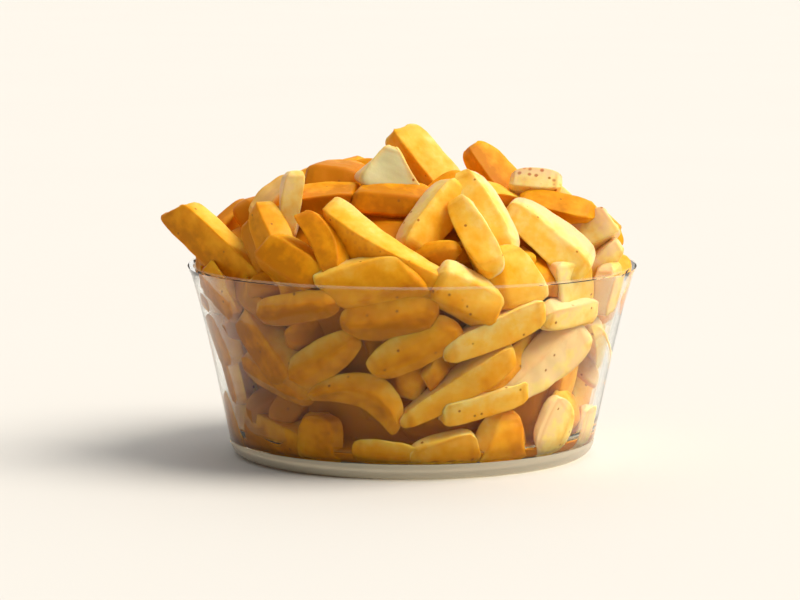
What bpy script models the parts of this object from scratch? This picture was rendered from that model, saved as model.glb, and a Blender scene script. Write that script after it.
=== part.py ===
"""A clear glass bowl heaped with thick-cut golden potato crisps.

Two nodes. glass_bowl is one turned piece of glass: a flat thick base, a rounded heel and a
wall that flares to a rounded lip. crisps is the whole heap as one solid: a plain core with
the crisps that show on its sides and top fused to it. The front of the heap is laid by hand,
the sides and back by a rule with a seeded draw, and a few rounds of pushing neighbours apart
make room between them. Origin: the middle of the bowl's underside. +Z up, the front faces -Y.
Blender's own units here are metres; MM turns the millimetres of the dimensions into metres.
"""

import math
import random
from collections import namedtuple

import bmesh
import bpy
import numpy as np

MM = 0.001

# Bowl: outside radii and heights
RIM_RADIUS = 100.4 * MM
RIM_HEIGHT = 86.0 * MM
HEEL_RADIUS = 82.0 * MM
HEEL_HEIGHT = 7.5 * MM
FOOT_RADIUS = 75.0 * MM
WALL_SLOPE = 0.205  # outward run of the wall for each unit of height
WALL_AT_HEEL = 3.4 * MM
WALL_AT_RIM = 2.4 * MM
FLOOR_THICK = 7.5 * MM
INNER_HEEL = 9.0 * MM  # radius of the hollow's rounded bottom corner
TURNED_STEPS = 60

# Heap
DOME_RISE = 47.0 * MM  # height of the heap's even outline above the rim, at the middle
DOME_RADIUS = 98.0 * MM
CORE_DEPTH = 11.0 * MM  # how far the core lies under the heap's outline
STAND_OUT = 1.5 * MM  # how far a crisp laid by the rule may stand above the outline
# How high the heap's top edge is as seen from the front, across and up in millimetres
SKYLINE = (
    (-96, 100), (-90, 106), (-81, 100), (-78, 103), (-70, 114), (-58, 123), (-44, 130), (0, 140),
    (20, 127), (45, 128), (66, 122), (72, 116), (80, 112), (88, 105), (94, 99), (97, 89),
)
GLASS_GAP = 0.8 * MM  # least air between a crisp and the glass
CORE_STEPS = 20

# A crisp's mesh: its rings, as angles from one end to the other of the curve that rounds its
# ends, and how far each section corner is cut, in degrees
RINGS = (32.0, 90.0, 148.0)
CORNER_CUT = 10.0
SECTION_POWER = 10.0  # how square the section's corners are

# Where the places of the front crisps were read: a viewpoint in front of the bowl, and the
# upright plane through the bowl's axis that it looks at
VIEWPOINT = np.array([0.0, -1550.0, 256.0]) * MM
MOST_SLOPE_WALL = 1.8  # most that a crisp on the glass runs to the back for each unit across
MOST_SLOPE_TOP = 0.6  # the same for a crisp on the dome
LEAST_WIDTH_SEEN = 0.75  # least share of its width that a crisp is taken to show

# Crisps laid by the rule, on the sides and back: sizes from least to most
SEED = 41
WALL_CRISPS = 72
DOME_CRISPS = 80
RULED_CUTS = ("baton", "wedge", "wedge", "chunk")
RULED_LENGTH = (32.0, 50.0)
RULED_CHUNK_LENGTH = (24.0, 31.0)
RULED_WIDTH = (15.0, 20.0)
RULED_THICK = (12.5, 15.5)
CLEAR_OF_PLACED = 13.0 * MM  # least room between a ruled crisp's middle and a hand-laid crisp
LAID_BY_HAND = -50.0 * MM  # in front of here every crisp is laid by hand
HALF_THICK = 7.0 * MM
WALL_MARGIN = (9.0 * MM, 6.0 * MM)  # from the floor to the lowest, and from the highest to the rim
DOME_MARGIN = 6.0 * MM

# Pushing neighbours apart
PUSH_ROUNDS = 60
PUSH_SHARE = 0.4  # share of a pair's want of room that one round makes good
HOME_PULL = 0.04  # share of its way back that each crisp is drawn home in one round
SNUG = 0.92  # share of a crisp's half thickness that a neighbour may not enter

Crisp = namedtuple(
    "Crisp", "cut across up length width thick turn inset depth lean roll bend sweep taper slant ends"
)
Laid = namedtuple(
    "Laid", "cut centre along face length width thick bend sweep taper twist slant sides ends above"
)

# Section of each cut, as flat sides: outward direction in degrees, 90 being its outer face,
# and distance from the middle as a share of half the width or thickness
SIDES = {
    "baton": ((0, 1.0), (90, 1.0), (180, 1.0), (270, 1.0)),
    "wedge": ((55, 0.92), (125, 0.92), (222, 0.62), (318, 0.62)),
    "chunk": ((15, 1.0), (85, 0.95), (158, 0.95), (228, 0.9), (300, 0.95)),
    "slice": ((0, 1.0), (90, 1.0), (180, 1.0), (270, 1.0)),
}
ENDS = {"baton": 5.0, "wedge": 3.0, "chunk": 3.6, "slice": 2.8}  # higher is blunter


def crisp(
    cut, across, up, length, width, thick, turn,
    inset=0, depth=None, lean=0, roll=0, bend=0, sweep=0, taper=0, slant=0, ends=None,
):
    """One crisp at the front, in millimetres and degrees, as the viewpoint sees it.

    across and up are its middle on the upright plane through the axis, length and width are
    as seen, and turn is its rise to the right. It lies inset behind the heap's outline, or
    depth behind that plane. lean tips its right end forward, roll turns its outer face
    downwards, bend arches it outwards, sweep arches it upwards, taper widens its right end, and
    slant cuts its ends slantwise.
    """
    return Crisp(
        cut, across, up, length, width, thick, turn,
        inset, depth, lean, roll, bend, sweep, taper, slant, ends or ENDS[cut],
    )


FRONT_TOP = (
    crisp("baton", -85, 90, 55, 15.5, 12.5, -41, depth=-31, lean=30, slant=0.7, ends=7),
    crisp("wedge", -75, 99.5, 24, 11, 12, -66, inset=5),
    crisp("wedge", -66, 99, 37, 16, 15, -68, inset=1, roll=-10),
    crisp("slice", -62, 113.5, 25, 13, 9, 41, depth=-30, lean=-10, roll=12),
    crisp("wedge", -53.5, 111, 31, 10, 12, 84, depth=-50, lean=-6, taper=0.15),
    crisp("chunk", -59, 87, 30, 19, 16, -30, inset=1),
    crisp("wedge", -42.5, 98.5, 29, 13, 13, -57, roll=-25, sweep=2),
    crisp("chunk", -34, 122.5, 27, 19, 17, -3, depth=-22, ends=3),
    crisp("baton", -38, 113, 27, 12, 12, 3, depth=-42),
    crisp(
        "baton", -15, 91, 60, 14, 13, -30, inset=-2, roll=50, bend=3, taper=-0.12, slant=-0.2, ends=5,
    ),
    crisp("slice", -9.5, 127, 21, 20, 10, 86, depth=-38, roll=30, taper=-0.7, ends=5),
    crisp("chunk", -9, 113, 34, 17, 16, -4, depth=-46),
    crisp("baton", 6.5, 130.8, 38, 13.5, 12, -48, depth=-12, lean=12, roll=34, ends=4),
    crisp("baton", 10, 113.5, 36, 16, 14, 52, inset=2, roll=46, ends=3.4),
    crisp("baton", 30, 102.5, 35, 13.5, 14, -62, roll=30, taper=0.15, ends=3),
    crisp("wedge", 34, 113, 39, 16, 16, -62, inset=-2, roll=5, taper=0.1, ends=2.6),
    crisp("baton", 34.8, 127, 28, 11, 12, -50, depth=-8, lean=8, roll=38, taper=0.15, ends=3.4),
    crisp("slice", 55.2, 121, 24, 9.5, 9, -3, depth=-24, lean=5, roll=42),
    crisp("wedge", 64.5, 109.5, 36, 16, 15, -10, depth=-30),
    crisp("wedge", 67.5, 100.5, 45, 16, 15, -38, inset=-1, roll=20, taper=0.12, ends=3.4),
    crisp("baton", 81, 100, 20, 13, 12, 32, depth=-30),
    crisp("wedge", 88.5, 98, 15, 10, 10, -65, depth=-6),
    crisp("wedge", 83.5, 86, 26, 15, 13, 45, depth=-32),
)
FRONT_WALL = (
    crisp("chunk", 51, 79, 29, 24, 15, -72, taper=0.36, ends=2.6),
    crisp("chunk", 25, 68.5, 31, 19, 15, -30, ends=5),
    crisp("chunk", -20.5, 75.5, 42, 22, 14, 12, taper=0.05, slant=-0.5, ends=5),
    crisp("wedge", -11, 60, 43, 20, 15, 10, taper=0.2, ends=2.7),
    crisp("baton", 38, 53, 47, 13, 13, 25, taper=0.15, ends=3.4),
    crisp("wedge", 1, 45, 43, 17, 14, 31, taper=0.15, ends=2.8),
    crisp("baton", 21, 27.5, 58, 11.5, 12, 33, taper=0.25, ends=3.4),
    crisp("chunk", 62, 38, 46, 21, 14, 38, taper=0.3, ends=2.7),
    crisp("wedge", -41.5, 41, 35, 17, 14, 40, taper=-0.1, ends=3),
    crisp("wedge", -24.5, 21.5, 42, 14, 13, -22, sweep=6, taper=-0.1),
    crisp("chunk", -43.5, 8, 24, 19, 13, 86),
    crisp("wedge", -12, 4, 30, 13, 12, -10, inset=2),
    crisp("chunk", 15, 6, 30, 17, 13, 8, taper=0.2),
    crisp("chunk", 43, 9, 25, 21, 14, 85, taper=-0.2, ends=2.7),
    crisp("baton", 33, 20, 38, 12, 11, 14, inset=6),
    crisp("chunk", 64, 17, 26, 17, 13, 65, ends=2.8),
    crisp("chunk", 78, 19, 22, 12, 12, 78),
    crisp("chunk", 71, 60, 24, 14, 13, 0, inset=5),
    crisp("baton", 76, 73, 24, 17, 13, 85, inset=3),
    crisp("wedge", 86, 47, 25, 11, 12, -75),
    crisp("wedge", -62, 32.5, 34, 16, 14, -28, taper=-0.15),
    crisp("baton", -63, 9, 27, 17, 13, -8),
    crisp("baton", -67, 46, 34, 14, 13, -52, ends=3.6),
    crisp("wedge", -87, 72, 23, 14, 12, -48),
    crisp("wedge", -53, 63.5, 36, 14, 13, 14, inset=3),
    crisp("wedge", -81, 37, 34, 13, 12, -75, inset=2),
    crisp("chunk", -79, 18, 25, 14, 12, -74),
    crisp("chunk", 89, 73, 23, 12, 12, 80),
    crisp("wedge", 90, 58, 19, 9, 11, -70),
    crisp("chunk", -58, 53, 24, 14, 13, -70, inset=11),
    crisp("chunk", -85, 50, 26, 14, 12, -68, inset=4),
)


# Bowl profile

def outer_radius(z):
    """Radius of the bowl's outside at height z: a straight slope, with a flare near the rim."""
    rise = np.clip((z - HEEL_HEIGHT) / (RIM_HEIGHT - HEEL_HEIGHT), 0.0, 1.0)
    straight = HEEL_RADIUS + WALL_SLOPE * rise * (RIM_HEIGHT - HEEL_HEIGHT)
    flare = RIM_RADIUS - HEEL_RADIUS - WALL_SLOPE * (RIM_HEIGHT - HEEL_HEIGHT)
    return straight + flare * rise**4


def wall_thickness(z):
    rise = np.clip((z - HEEL_HEIGHT) / (RIM_HEIGHT - HEEL_HEIGHT), 0.0, 1.0)
    return WALL_AT_HEEL + (WALL_AT_RIM - WALL_AT_HEEL) * rise


def inner_radius(z):
    """Radius of the hollow at height z, with its rounded bottom corner."""
    wall = outer_radius(z) - wall_thickness(z)
    drop = np.clip((FLOOR_THICK + INNER_HEEL - z) / INNER_HEEL, 0.0, 1.0)
    return wall - INNER_HEEL * (1.0 - np.sqrt(1.0 - drop * drop))


def turned(name, profile, steps):
    """A solid turned round Z from (radius, height) points that run inside, over and outside."""
    mesh = bpy.data.meshes.new(name)
    points = [(r, 0.0, z) for r, z in profile]
    mesh.from_pydata(points, [(i, i + 1) for i in range(len(points) - 1)], [])
    made = bpy.data.objects.new(name, mesh)
    bpy.context.scene.collection.objects.link(made)
    screw = made.modifiers.new("turn", "SCREW")
    screw.axis = "Z"
    screw.steps = screw.render_steps = steps
    screw.use_merge_vertices = True
    screw.merge_threshold = 0.00001
    screw.use_smooth_shade = True
    return made


def bowl_profile():
    """Half section of the glass, from the middle of its floor over the lip to its underside."""
    corner = [INNER_HEEL * (1.0 - math.cos(math.radians(a))) for a in (0, 30, 60, 90)]
    heights_in = [FLOOR_THICK + c for c in corner] + [z * MM for z in (30, 46, 62, 75)]
    lip_top = RIM_HEIGHT - WALL_AT_RIM / 2
    inside = [(float(inner_radius(z)), z) for z in heights_in]
    lip_middle = float(outer_radius(RIM_HEIGHT)) - WALL_AT_RIM / 2
    lip = [
        (
            lip_middle - WALL_AT_RIM / 2 * math.cos(math.radians(a)),
            lip_top + WALL_AT_RIM / 2 * math.sin(math.radians(a)),
        )
        for a in (0, 45, 90, 135, 180)
    ]
    outside = [(float(outer_radius(z * MM)), z * MM) for z in (75, 62, 46, 28)]
    heel = [
        (
            FOOT_RADIUS + (HEEL_RADIUS - FOOT_RADIUS) * math.cos(math.radians(a)),
            HEEL_HEIGHT * (1.0 - math.sin(math.radians(a))),
        )
        for a in (0, 30, 60, 90)
    ]
    return [(0.0, FLOOR_THICK), *inside, *lip, *outside, *heel, (0.0, 0.0)]


# The heap's outline and where each crisp lies on it

def dome_height(r):
    """Height of the heap's even outline at radius r: half an ellipse standing on the rim."""
    return RIM_HEIGHT + DOME_RISE * np.sqrt(np.clip(1.0 - (r / DOME_RADIUS) ** 2, 0.0, 1.0))


def unit(v):
    return v / np.linalg.norm(v)


def seen_at(across, up, depth):
    """The point at that depth which the viewpoint sees at (across, up) on the upright plane."""
    aim = np.array([across, 0.0, up]) * MM
    share = (depth * MM - VIEWPOINT[1]) / (0.0 - VIEWPOINT[1])
    return VIEWPOINT + (aim - VIEWPOINT) * share


def outline_depth(across, up):
    """Depth, in millimetres, at which the sight line to (across, up) meets the heap's outline."""
    near, far = -130.0, 0.0
    for _ in range(40):
        middle = (near + far) / 2
        p = seen_at(across, up, middle)
        r = math.hypot(p[0], p[1])
        top = float(dome_height(r)) if r < DOME_RADIUS else 0.0
        if p[2] < RIM_HEIGHT:
            outside = r > float(inner_radius(p[2])) - GLASS_GAP
        else:
            outside = p[2] > top
        if outside:
            near = middle
        else:
            far = middle
    return (near + far) / 2


def outward(p):
    """Outward direction of the heap's outline near p."""
    flat = unit(np.array([p[0], p[1], 0.0]))
    if p[2] < RIM_HEIGHT:
        return unit(flat + np.array([0.0, 0.0, -WALL_SLOPE]))
    share = np.array([1.0, 1.0, (DOME_RADIUS / DOME_RISE) ** 2])
    return unit((p - np.array([0.0, 0.0, RIM_HEIGHT])) * share)


def uneven(draw, cut):
    """The section's sides, each turned and moved a little, so that no two crisps match."""
    return tuple(
        (angle + draw.uniform(-7, 7), distance * draw.uniform(0.92, 1.06))
        for angle, distance in SIDES[cut]
    )


def seen_share(direction):
    """Share of a unit length in this direction that shows from the front."""
    return math.hypot(direction[0], direction[2])


def turned_about(vector, axis, degrees):
    """vector turned about a unit axis."""
    angle = math.radians(degrees)
    return (
        vector * math.cos(angle)
        + np.cross(axis, vector) * math.sin(angle)
        + axis * np.dot(axis, vector) * (1.0 - math.cos(angle))
    )


def laid_from_view(item, draw):
    """Places one hand-laid crisp along the outline, with its length and width as seen."""
    turn = math.radians(item.turn)
    seen = np.array([math.cos(turn), 0.0, math.sin(turn)])
    if item.depth is None:
        surface = seen_at(item.across, item.up, outline_depth(item.across, item.up))
        out = outward(surface)
        slope = -(seen[0] * out[0] + seen[2] * out[2]) / min(out[1], -0.15)
        most = MOST_SLOPE_WALL if surface[2] < RIM_HEIGHT else MOST_SLOPE_TOP
        seen[1] = max(-most, min(most, slope)) - math.tan(math.radians(item.lean))
        centre = surface - out * (item.inset + item.thick / 2) * MM
    else:
        centre = seen_at(item.across, item.up, item.depth)
        out = outward(centre)
        seen[1] = -math.tan(math.radians(item.lean))
    along = unit(seen)
    face = turned_about(unit(out - along * np.dot(along, out)), along, item.roll)
    side = np.cross(face, along)
    length = item.length * MM / seen_share(along)
    width = item.width * MM / max(LEAST_WIDTH_SEEN, seen_share(side))
    return Laid(
        item.cut, centre, along, face, length, width, item.thick * MM, item.bend * MM, item.sweep * MM,
        item.taper, draw.uniform(-0.25, 0.25), item.slant + draw.uniform(-0.25, 0.25),
        uneven(draw, item.cut), item.ends, item in FRONT_TOP,
    )


def laid_by_rule(centre, seated, draw):
    """A crisp of drawn cut and size that lies along the outline, turned by the draw."""
    cut = draw.choice(RULED_CUTS)
    length = draw.uniform(*(RULED_CHUNK_LENGTH if cut == "chunk" else RULED_LENGTH)) * MM
    width = draw.uniform(*RULED_WIDTH) * MM
    thick = draw.uniform(*RULED_THICK) * MM
    out = outward(centre)
    level = unit(np.cross([0.0, 0.0, 1.0], out))
    rise = np.cross(out, level)
    turn = math.radians(draw.uniform(-80, 80))
    slope = 0.0 if seated else math.tan(math.radians(draw.uniform(-12, 16)))
    along = unit(level * math.cos(turn) + rise * math.sin(turn) + out * slope)
    face = unit(out - along * np.dot(along, out))
    face = turned_about(face, along, 0.0 if seated else draw.uniform(-45, 45))
    return Laid(
        cut, centre, along, face, length, width, thick, draw.uniform(-1, 3.5) * MM, 0.0,
        draw.uniform(-0.3, 0.3), draw.uniform(-0.25, 0.25), draw.uniform(-0.35, 0.35),
        uneven(draw, cut), ENDS[cut] * draw.uniform(0.85, 1.15), False,
    )


def spots_by_rule():
    """Evenly spread places on the wall and the dome, each turn of a spiral a golden angle on."""
    golden = math.pi * (3.0 - math.sqrt(5.0))
    spots = []
    lowest, highest = FLOOR_THICK + WALL_MARGIN[0], RIM_HEIGHT - WALL_MARGIN[1]
    for i in range(WALL_CRISPS):
        z = lowest + (highest - lowest) * (i + 0.5) / WALL_CRISPS
        r = float(inner_radius(z)) - HALF_THICK
        spots.append((np.array([r * math.cos(golden * i), r * math.sin(golden * i), z]), True))
    for i in range(DOME_CRISPS):
        r = (DOME_RADIUS - DOME_MARGIN) * math.sqrt((i + 0.5) / DOME_CRISPS)
        z = float(dome_height(r)) - HALF_THICK
        spots.append((np.array([r * math.cos(golden * i), r * math.sin(golden * i), z]), False))
    return spots


def beside(spot, placed):
    """Distance from a spot to the nearest placed crisp's length."""
    starts = np.array([c.centre - c.along * c.length * 0.35 for c in placed])
    runs = np.array([c.along * c.length * 0.7 for c in placed])
    share = np.clip(((spot - starts) * runs).sum(-1) / (runs * runs).sum(-1), 0.0, 1.0)
    apart = starts + runs * share[:, None] - spot
    return float(np.sqrt((apart * apart).sum(-1)).min())


def nearest_on_segments(a0, a1, b0, b1):
    """Shares along two sets of segments at which each pair comes closest."""
    da, db, gap = a1 - a0, b1 - b0, a0 - b0
    aa, bb = (da * da).sum(-1), (db * db).sum(-1)
    ab, ag, bg = (da * db).sum(-1), (da * gap).sum(-1), (db * gap).sum(-1)
    slant = np.maximum(aa * bb - ab * ab, 1e-14)
    s = np.clip((ab * bg - bb * ag) / slant, 0.0, 1.0)
    t = np.clip((ab * s + bg) / bb, 0.0, 1.0)
    s = np.clip((ab * t - ag) / aa, 0.0, 1.0)
    return s, t


def pushed_apart(crisps, fixed):
    """Moves the crisps that aren't fixed until neighbours no longer fill each other's room.

    Each crisp is a rod with a round reach. Where two rods come too close, the ends nearer to
    that place are moved apart. Each round is rounded to a micrometre.
    """
    reach = np.array([(c.width + c.thick) / 4 * SNUG for c in crisps])
    half = np.array([c.length / 2 for c in crisps]) - reach * 0.8
    centre = np.array([c.centre for c in crisps])
    along = np.array([c.along for c in crisps])
    home = centre.copy()
    ends = np.stack([centre - along * half[:, None], centre + along * half[:, None]], 1)
    free = 1.0 - np.array(fixed, float)
    first, second = np.triu_indices(len(crisps), 1)
    moving = free[first] + free[second] > 0
    first, second = first[moving], second[moving]
    total = free[first] + free[second]
    for _ in range(PUSH_ROUNDS):
        s, t = nearest_on_segments(ends[first, 0], ends[first, 1], ends[second, 0], ends[second, 1])
        pa = ends[first, 0] * (1 - s)[:, None] + ends[first, 1] * s[:, None]
        pb = ends[second, 0] * (1 - t)[:, None] + ends[second, 1] * t[:, None]
        apart = pa - pb
        distance = np.maximum(np.sqrt((apart * apart).sum(-1)), 1e-6)
        short = np.clip(reach[first] + reach[second] - distance, 0.0, None)
        push = apart * (PUSH_SHARE * short / distance / total)[:, None]
        for end, share_a, share_b in ((0, 1 - s, 1 - t), (1, s, t)):
            np.add.at(ends[:, end], first, push * (share_a * free[first])[:, None])
            np.add.at(ends[:, end], second, -push * (share_b * free[second])[:, None])
        middle = ends.mean(1)
        middle += (home - middle) * HOME_PULL * free[:, None]
        axis = ends[:, 1] - ends[:, 0]
        axis /= np.sqrt((axis * axis).sum(-1))[:, None]
        middle, axis = np.round(middle, 6), np.round(axis, 6)
        ends = np.stack([middle - axis * half[:, None], middle + axis * half[:, None]], 1)
    moved = []
    for i, c in enumerate(crisps):
        face = unit(c.face - axis[i] * np.dot(c.face, axis[i]))
        moved.append(c._replace(centre=middle[i], along=unit(axis[i]), face=face))
    return moved


# One crisp's form

def section_radius(angles, sides):
    """Distance from the middle to a rounded polygon's edge: a power mean of its flat sides."""
    total = np.zeros_like(angles)
    for side, distance in sides:
        facing = np.clip(np.cos(angles - math.radians(side)), 0.0, None)
        total += (facing / distance) ** SECTION_POWER
    return total ** (-1.0 / SECTION_POWER)


def corner_angles(sides, cut):
    """Directions of the section's corners, or those just before and after each one if cut."""
    angles = []
    for (a, da), (b, db) in zip(sides, sides[1:] + sides[:1]):
        a, b = math.radians(a), math.radians(b)
        turn = math.sin(b - a)
        x = (da * math.sin(b) - db * math.sin(a)) / turn
        y = (db * math.cos(a) - da * math.cos(b)) / turn
        corner = math.degrees(math.atan2(y, x))
        angles += [corner - CORNER_CUT, corner + CORNER_CUT] if cut else [corner]
    return np.radians(np.array(angles))


def crisp_rings(item, rings=RINGS, around=None):
    """Rings of points along a crisp, the outer two at its ends."""
    if around is None:
        around = corner_angles(item.sides, item.above)
    radius = section_radius(around, item.sides)
    power = 2.0 / item.ends
    longest = math.cos(math.radians(rings[0])) ** power
    made = []
    for t in np.radians(rings):
        x = math.copysign(abs(math.cos(t)) ** power, math.cos(t)) / longest
        made.append(crisp_points(item, x, math.sin(t) ** power, around, radius))
    return made


def crisp_cloud(item):
    """Points all over a crisp, both rounded and as its flat-faced mesh, to test its room."""
    rounded = crisp_rings(item, np.arange(8, 180, 12), np.radians(np.arange(0, 360, 12)))
    rings = crisp_rings(item)
    along = [
        near + (far - near) * share
        for near, far in zip(rings, rings[1:])
        for share in (0.25, 0.5, 0.75)
    ]
    faceted = [*rings, *along]
    between = [(ring + np.roll(ring, 1, axis=0)) / 2 for ring in faceted]
    return np.vstack([*rounded, *faceted, *between])


def crisp_points(item, x, size, around, radius):
    """Points of the section at share x of the half length, scaled by size and bent."""
    turn = around + item.twist * x
    across = radius * np.cos(turn) * size * item.width / 2 * (1.0 + item.taper * x)
    outwards = radius * np.sin(turn) * size * item.thick / 2 * (1.0 + item.taper * x)
    outwards = outwards + item.bend * (1.0 - 2.0 * x * x)
    across = across + item.sweep * (1.0 - 2.0 * x * x)
    length = x * item.length / 2 + item.slant * across
    side = np.cross(item.face, item.along)
    offset = np.outer(length, item.along) + np.outer(across, side) + np.outer(outwards, item.face)
    return item.centre + offset


def depth_in_glass(item):
    """How far the crisp's points reach past the hollow's side, and below its floor."""
    points = crisp_cloud(item)
    low = points[points[:, 2] < RIM_HEIGHT + 2 * GLASS_GAP]
    past = -1.0
    if len(low):
        past = float((np.hypot(low[:, 0], low[:, 1]) - inner_radius(low[:, 2])).max())
    return past + GLASS_GAP, FLOOR_THICK + GLASS_GAP - float(points[:, 2].min())


def clear_of_glass(item):
    """The crisp moved inwards and up until it is inside the hollow."""
    for _ in range(5):
        past, below = depth_in_glass(item)
        inwards = -unit(np.array([item.centre[0], item.centre[1], 0.0])) * max(past, 0.0)
        centre = item.centre + inwards + np.array([0.0, 0.0, max(below, 0.0)])
        item = item._replace(centre=np.round(centre, 6))
    return item


def under_outline(item):
    """The crisp lowered until it stands no more than STAND_OUT above the dome or the skyline."""
    points = crisp_cloud(item)
    r = np.hypot(points[:, 0], points[:, 1])
    over = float((points[:, 2] - dome_height(r)).max()) - STAND_OUT
    share = VIEWPOINT[1] / (VIEWPOINT[1] - points[:, 1])
    seen = VIEWPOINT + (points - VIEWPOINT) * share[:, None]
    across, up = np.array(SKYLINE).T * MM
    over = max(over, float((seen[:, 2] - np.interp(seen[:, 0], across, up)).max()))
    down = np.array([0.0, 0.0, min(0.0, -over)])
    return item._replace(centre=np.round(item.centre + down, 6))


def lifted_over_rim(item):
    """The crisp raised until the rim is clear of it."""
    while depth_in_glass(item)[0] > 0:
        item = item._replace(centre=np.round(item.centre + np.array([0.0, 0.0, 0.5 * MM]), 6))
    return item


def heap():
    """Every crisp of the heap, in place."""
    draw = random.Random(SEED)
    placed = [laid_from_view(item, draw) for item in FRONT_TOP + FRONT_WALL]
    ruled = [laid_by_rule(spot, seated, draw) for spot, seated in spots_by_rule()]
    ruled = [c for c in ruled if c.centre[1] > LAID_BY_HAND]
    ruled = [c for c in ruled if beside(c.centre, placed) > CLEAR_OF_PLACED]
    crisps = pushed_apart(placed + ruled, [True] * len(placed) + [False] * len(ruled))
    placed, ruled = crisps[: len(placed)], crisps[len(placed) :]
    over_rim, *inside = placed + [under_outline(c) for c in ruled]
    return [lifted_over_rim(over_rim)] + [clear_of_glass(c) for c in inside]


def crisp_object(name, item):
    """One crisp as a closed mesh: rings joined along it, with a flat face at each end."""
    bm = bmesh.new()
    loops = [[bm.verts.new(p) for p in ring] for ring in crisp_rings(item)]
    count = len(loops[0])
    bm.faces.new(loops[0])
    bm.faces.new(loops[-1][::-1])
    for near, far in zip(loops, loops[1:]):
        for i in range(count):
            j = (i + 1) % count
            bm.faces.new((near[i], far[i], far[j], near[j]))
    bmesh.ops.recalc_face_normals(bm, faces=bm.faces)
    bmesh.ops.triangulate(bm, faces=bm.faces)
    mesh = bpy.data.meshes.new(name)
    bm.to_mesh(mesh)
    bm.free()
    return bpy.data.objects.new(name, mesh)


def core_object():
    """The heap's plain core: turned, and CORE_DEPTH inside the heap's outline."""
    low = FLOOR_THICK + 2.5 * MM
    wall = [(float(inner_radius(z * MM)) - CORE_DEPTH, z * MM) for z in (78, 56, 34, 18)]
    top = RIM_HEIGHT + DOME_RISE - CORE_DEPTH
    dome = [
        (
            (DOME_RADIUS - CORE_DEPTH - 3 * MM) * math.sin(math.radians(a)),
            RIM_HEIGHT - 6 * MM + (top - RIM_HEIGHT + 6 * MM) * math.cos(math.radians(a)),
        )
        for a in (0, 18, 36, 54, 72)
    ]
    foot = (float(inner_radius(18 * MM)) - CORE_DEPTH - 5 * MM, low)
    return turned("crisps", [*dome, *wall, foot, (0.0, low)], CORE_STEPS)


def keep_main_body(mesh):
    """Drops loose scraps and fills sealed hollows: only the largest closed shell stays."""
    bm = bmesh.new()
    bm.from_mesh(mesh)
    unseen = set(bm.faces)
    shells = []
    while unseen:
        shell, waiting = [], [unseen.pop()]
        while waiting:
            face = waiting.pop()
            shell.append(face)
            for edge in face.edges:
                for other in edge.link_faces:
                    if other in unseen:
                        unseen.remove(other)
                        waiting.append(other)
        shells.append(shell)
    shells.sort(key=len)
    for shell in shells[:-1]:
        bmesh.ops.delete(bm, geom=shell, context="FACES")
    bm.to_mesh(mesh)
    bm.free()


def fused_heap():
    """Core and crisps joined by one union, with the union applied."""
    core = core_object()
    pieces = bpy.data.collections.new("crisps_to_fuse")
    bpy.context.scene.collection.children.link(pieces)
    for i, item in enumerate(heap()):
        pieces.objects.link(crisp_object(f"piece_{i}", item))
    fuse = core.modifiers.new("fuse", "BOOLEAN")
    fuse.operation = "UNION"
    fuse.operand_type = "COLLECTION"
    fuse.collection = pieces
    fuse.solver = "MANIFOLD"
    graph = bpy.context.evaluated_depsgraph_get()
    joined = bpy.data.meshes.new_from_object(core.evaluated_get(graph))
    core.modifiers.clear()
    core.data = joined
    for piece in list(pieces.objects):
        bpy.data.objects.remove(piece)
    bpy.data.collections.remove(pieces)
    keep_main_body(joined)
    return core


def painted(made, name, colour, roughness):
    """Gives the object its own Principled material."""
    material = bpy.data.materials.new(name)
    material.use_nodes = True
    surface = material.node_tree.nodes["Principled BSDF"]
    surface.inputs["Base Color"].default_value = (*colour, 1.0)
    surface.inputs["Roughness"].default_value = roughness
    surface.inputs["Metallic"].default_value = 0.0
    made.data.materials.clear()
    made.data.materials.append(material)
    return surface


def main():
    for old in list(bpy.data.objects):
        bpy.data.objects.remove(old)
    bowl = turned("glass_bowl", bowl_profile(), TURNED_STEPS)
    glass = painted(bowl, "clear_glass", (0.88, 0.92, 0.90), 0.02)
    glass.inputs["Transmission Weight"].default_value = 1.0
    crisps = fused_heap()
    painted(crisps, "fried_potato", (0.83, 0.42, 0.05), 0.5)


main()
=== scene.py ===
# %% [markdown]
# A clear glass bowl, heaped above its rim with thick-cut golden potato crisps.
# The imported model gives the frame: the bowl's true size and the heap's form, in metres, +Z up,
# with the front facing -Y. This script dresses it. It turns a finer bowl over the plain one, and
# puts crisps of its own in place of the heap's solid, which it hides.

# %% The imported model as a fixed frame
import math
import random
from collections import namedtuple

import bpy
import numpy as np
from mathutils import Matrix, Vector


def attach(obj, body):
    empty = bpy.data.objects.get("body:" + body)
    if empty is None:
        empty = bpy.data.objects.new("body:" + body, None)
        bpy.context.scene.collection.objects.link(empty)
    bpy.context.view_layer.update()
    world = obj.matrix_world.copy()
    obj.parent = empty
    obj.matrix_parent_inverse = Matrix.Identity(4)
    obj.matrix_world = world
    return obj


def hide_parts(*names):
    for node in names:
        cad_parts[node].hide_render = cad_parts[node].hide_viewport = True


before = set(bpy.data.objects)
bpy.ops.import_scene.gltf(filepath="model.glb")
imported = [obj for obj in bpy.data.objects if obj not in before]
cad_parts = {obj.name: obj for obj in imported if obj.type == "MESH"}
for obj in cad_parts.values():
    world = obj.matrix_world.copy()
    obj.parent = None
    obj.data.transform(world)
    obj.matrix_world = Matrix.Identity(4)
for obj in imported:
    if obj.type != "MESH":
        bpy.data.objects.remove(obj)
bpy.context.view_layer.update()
MM = 0.001
print("packed nodes:", sorted(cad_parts))

# %% [markdown]
# Three helpers serve every material. Colours are written as sRGB hex, as an artist picks them,
# but light adds up in linear values, so one function turns them. The next adds a shader node
# with its settings and links, so that a material reads as a list of its layers, and the last
# makes an empty material. Dragging nodes by hand in the Shader Editor gives the same tree: code
# is easier to repeat.

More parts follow.
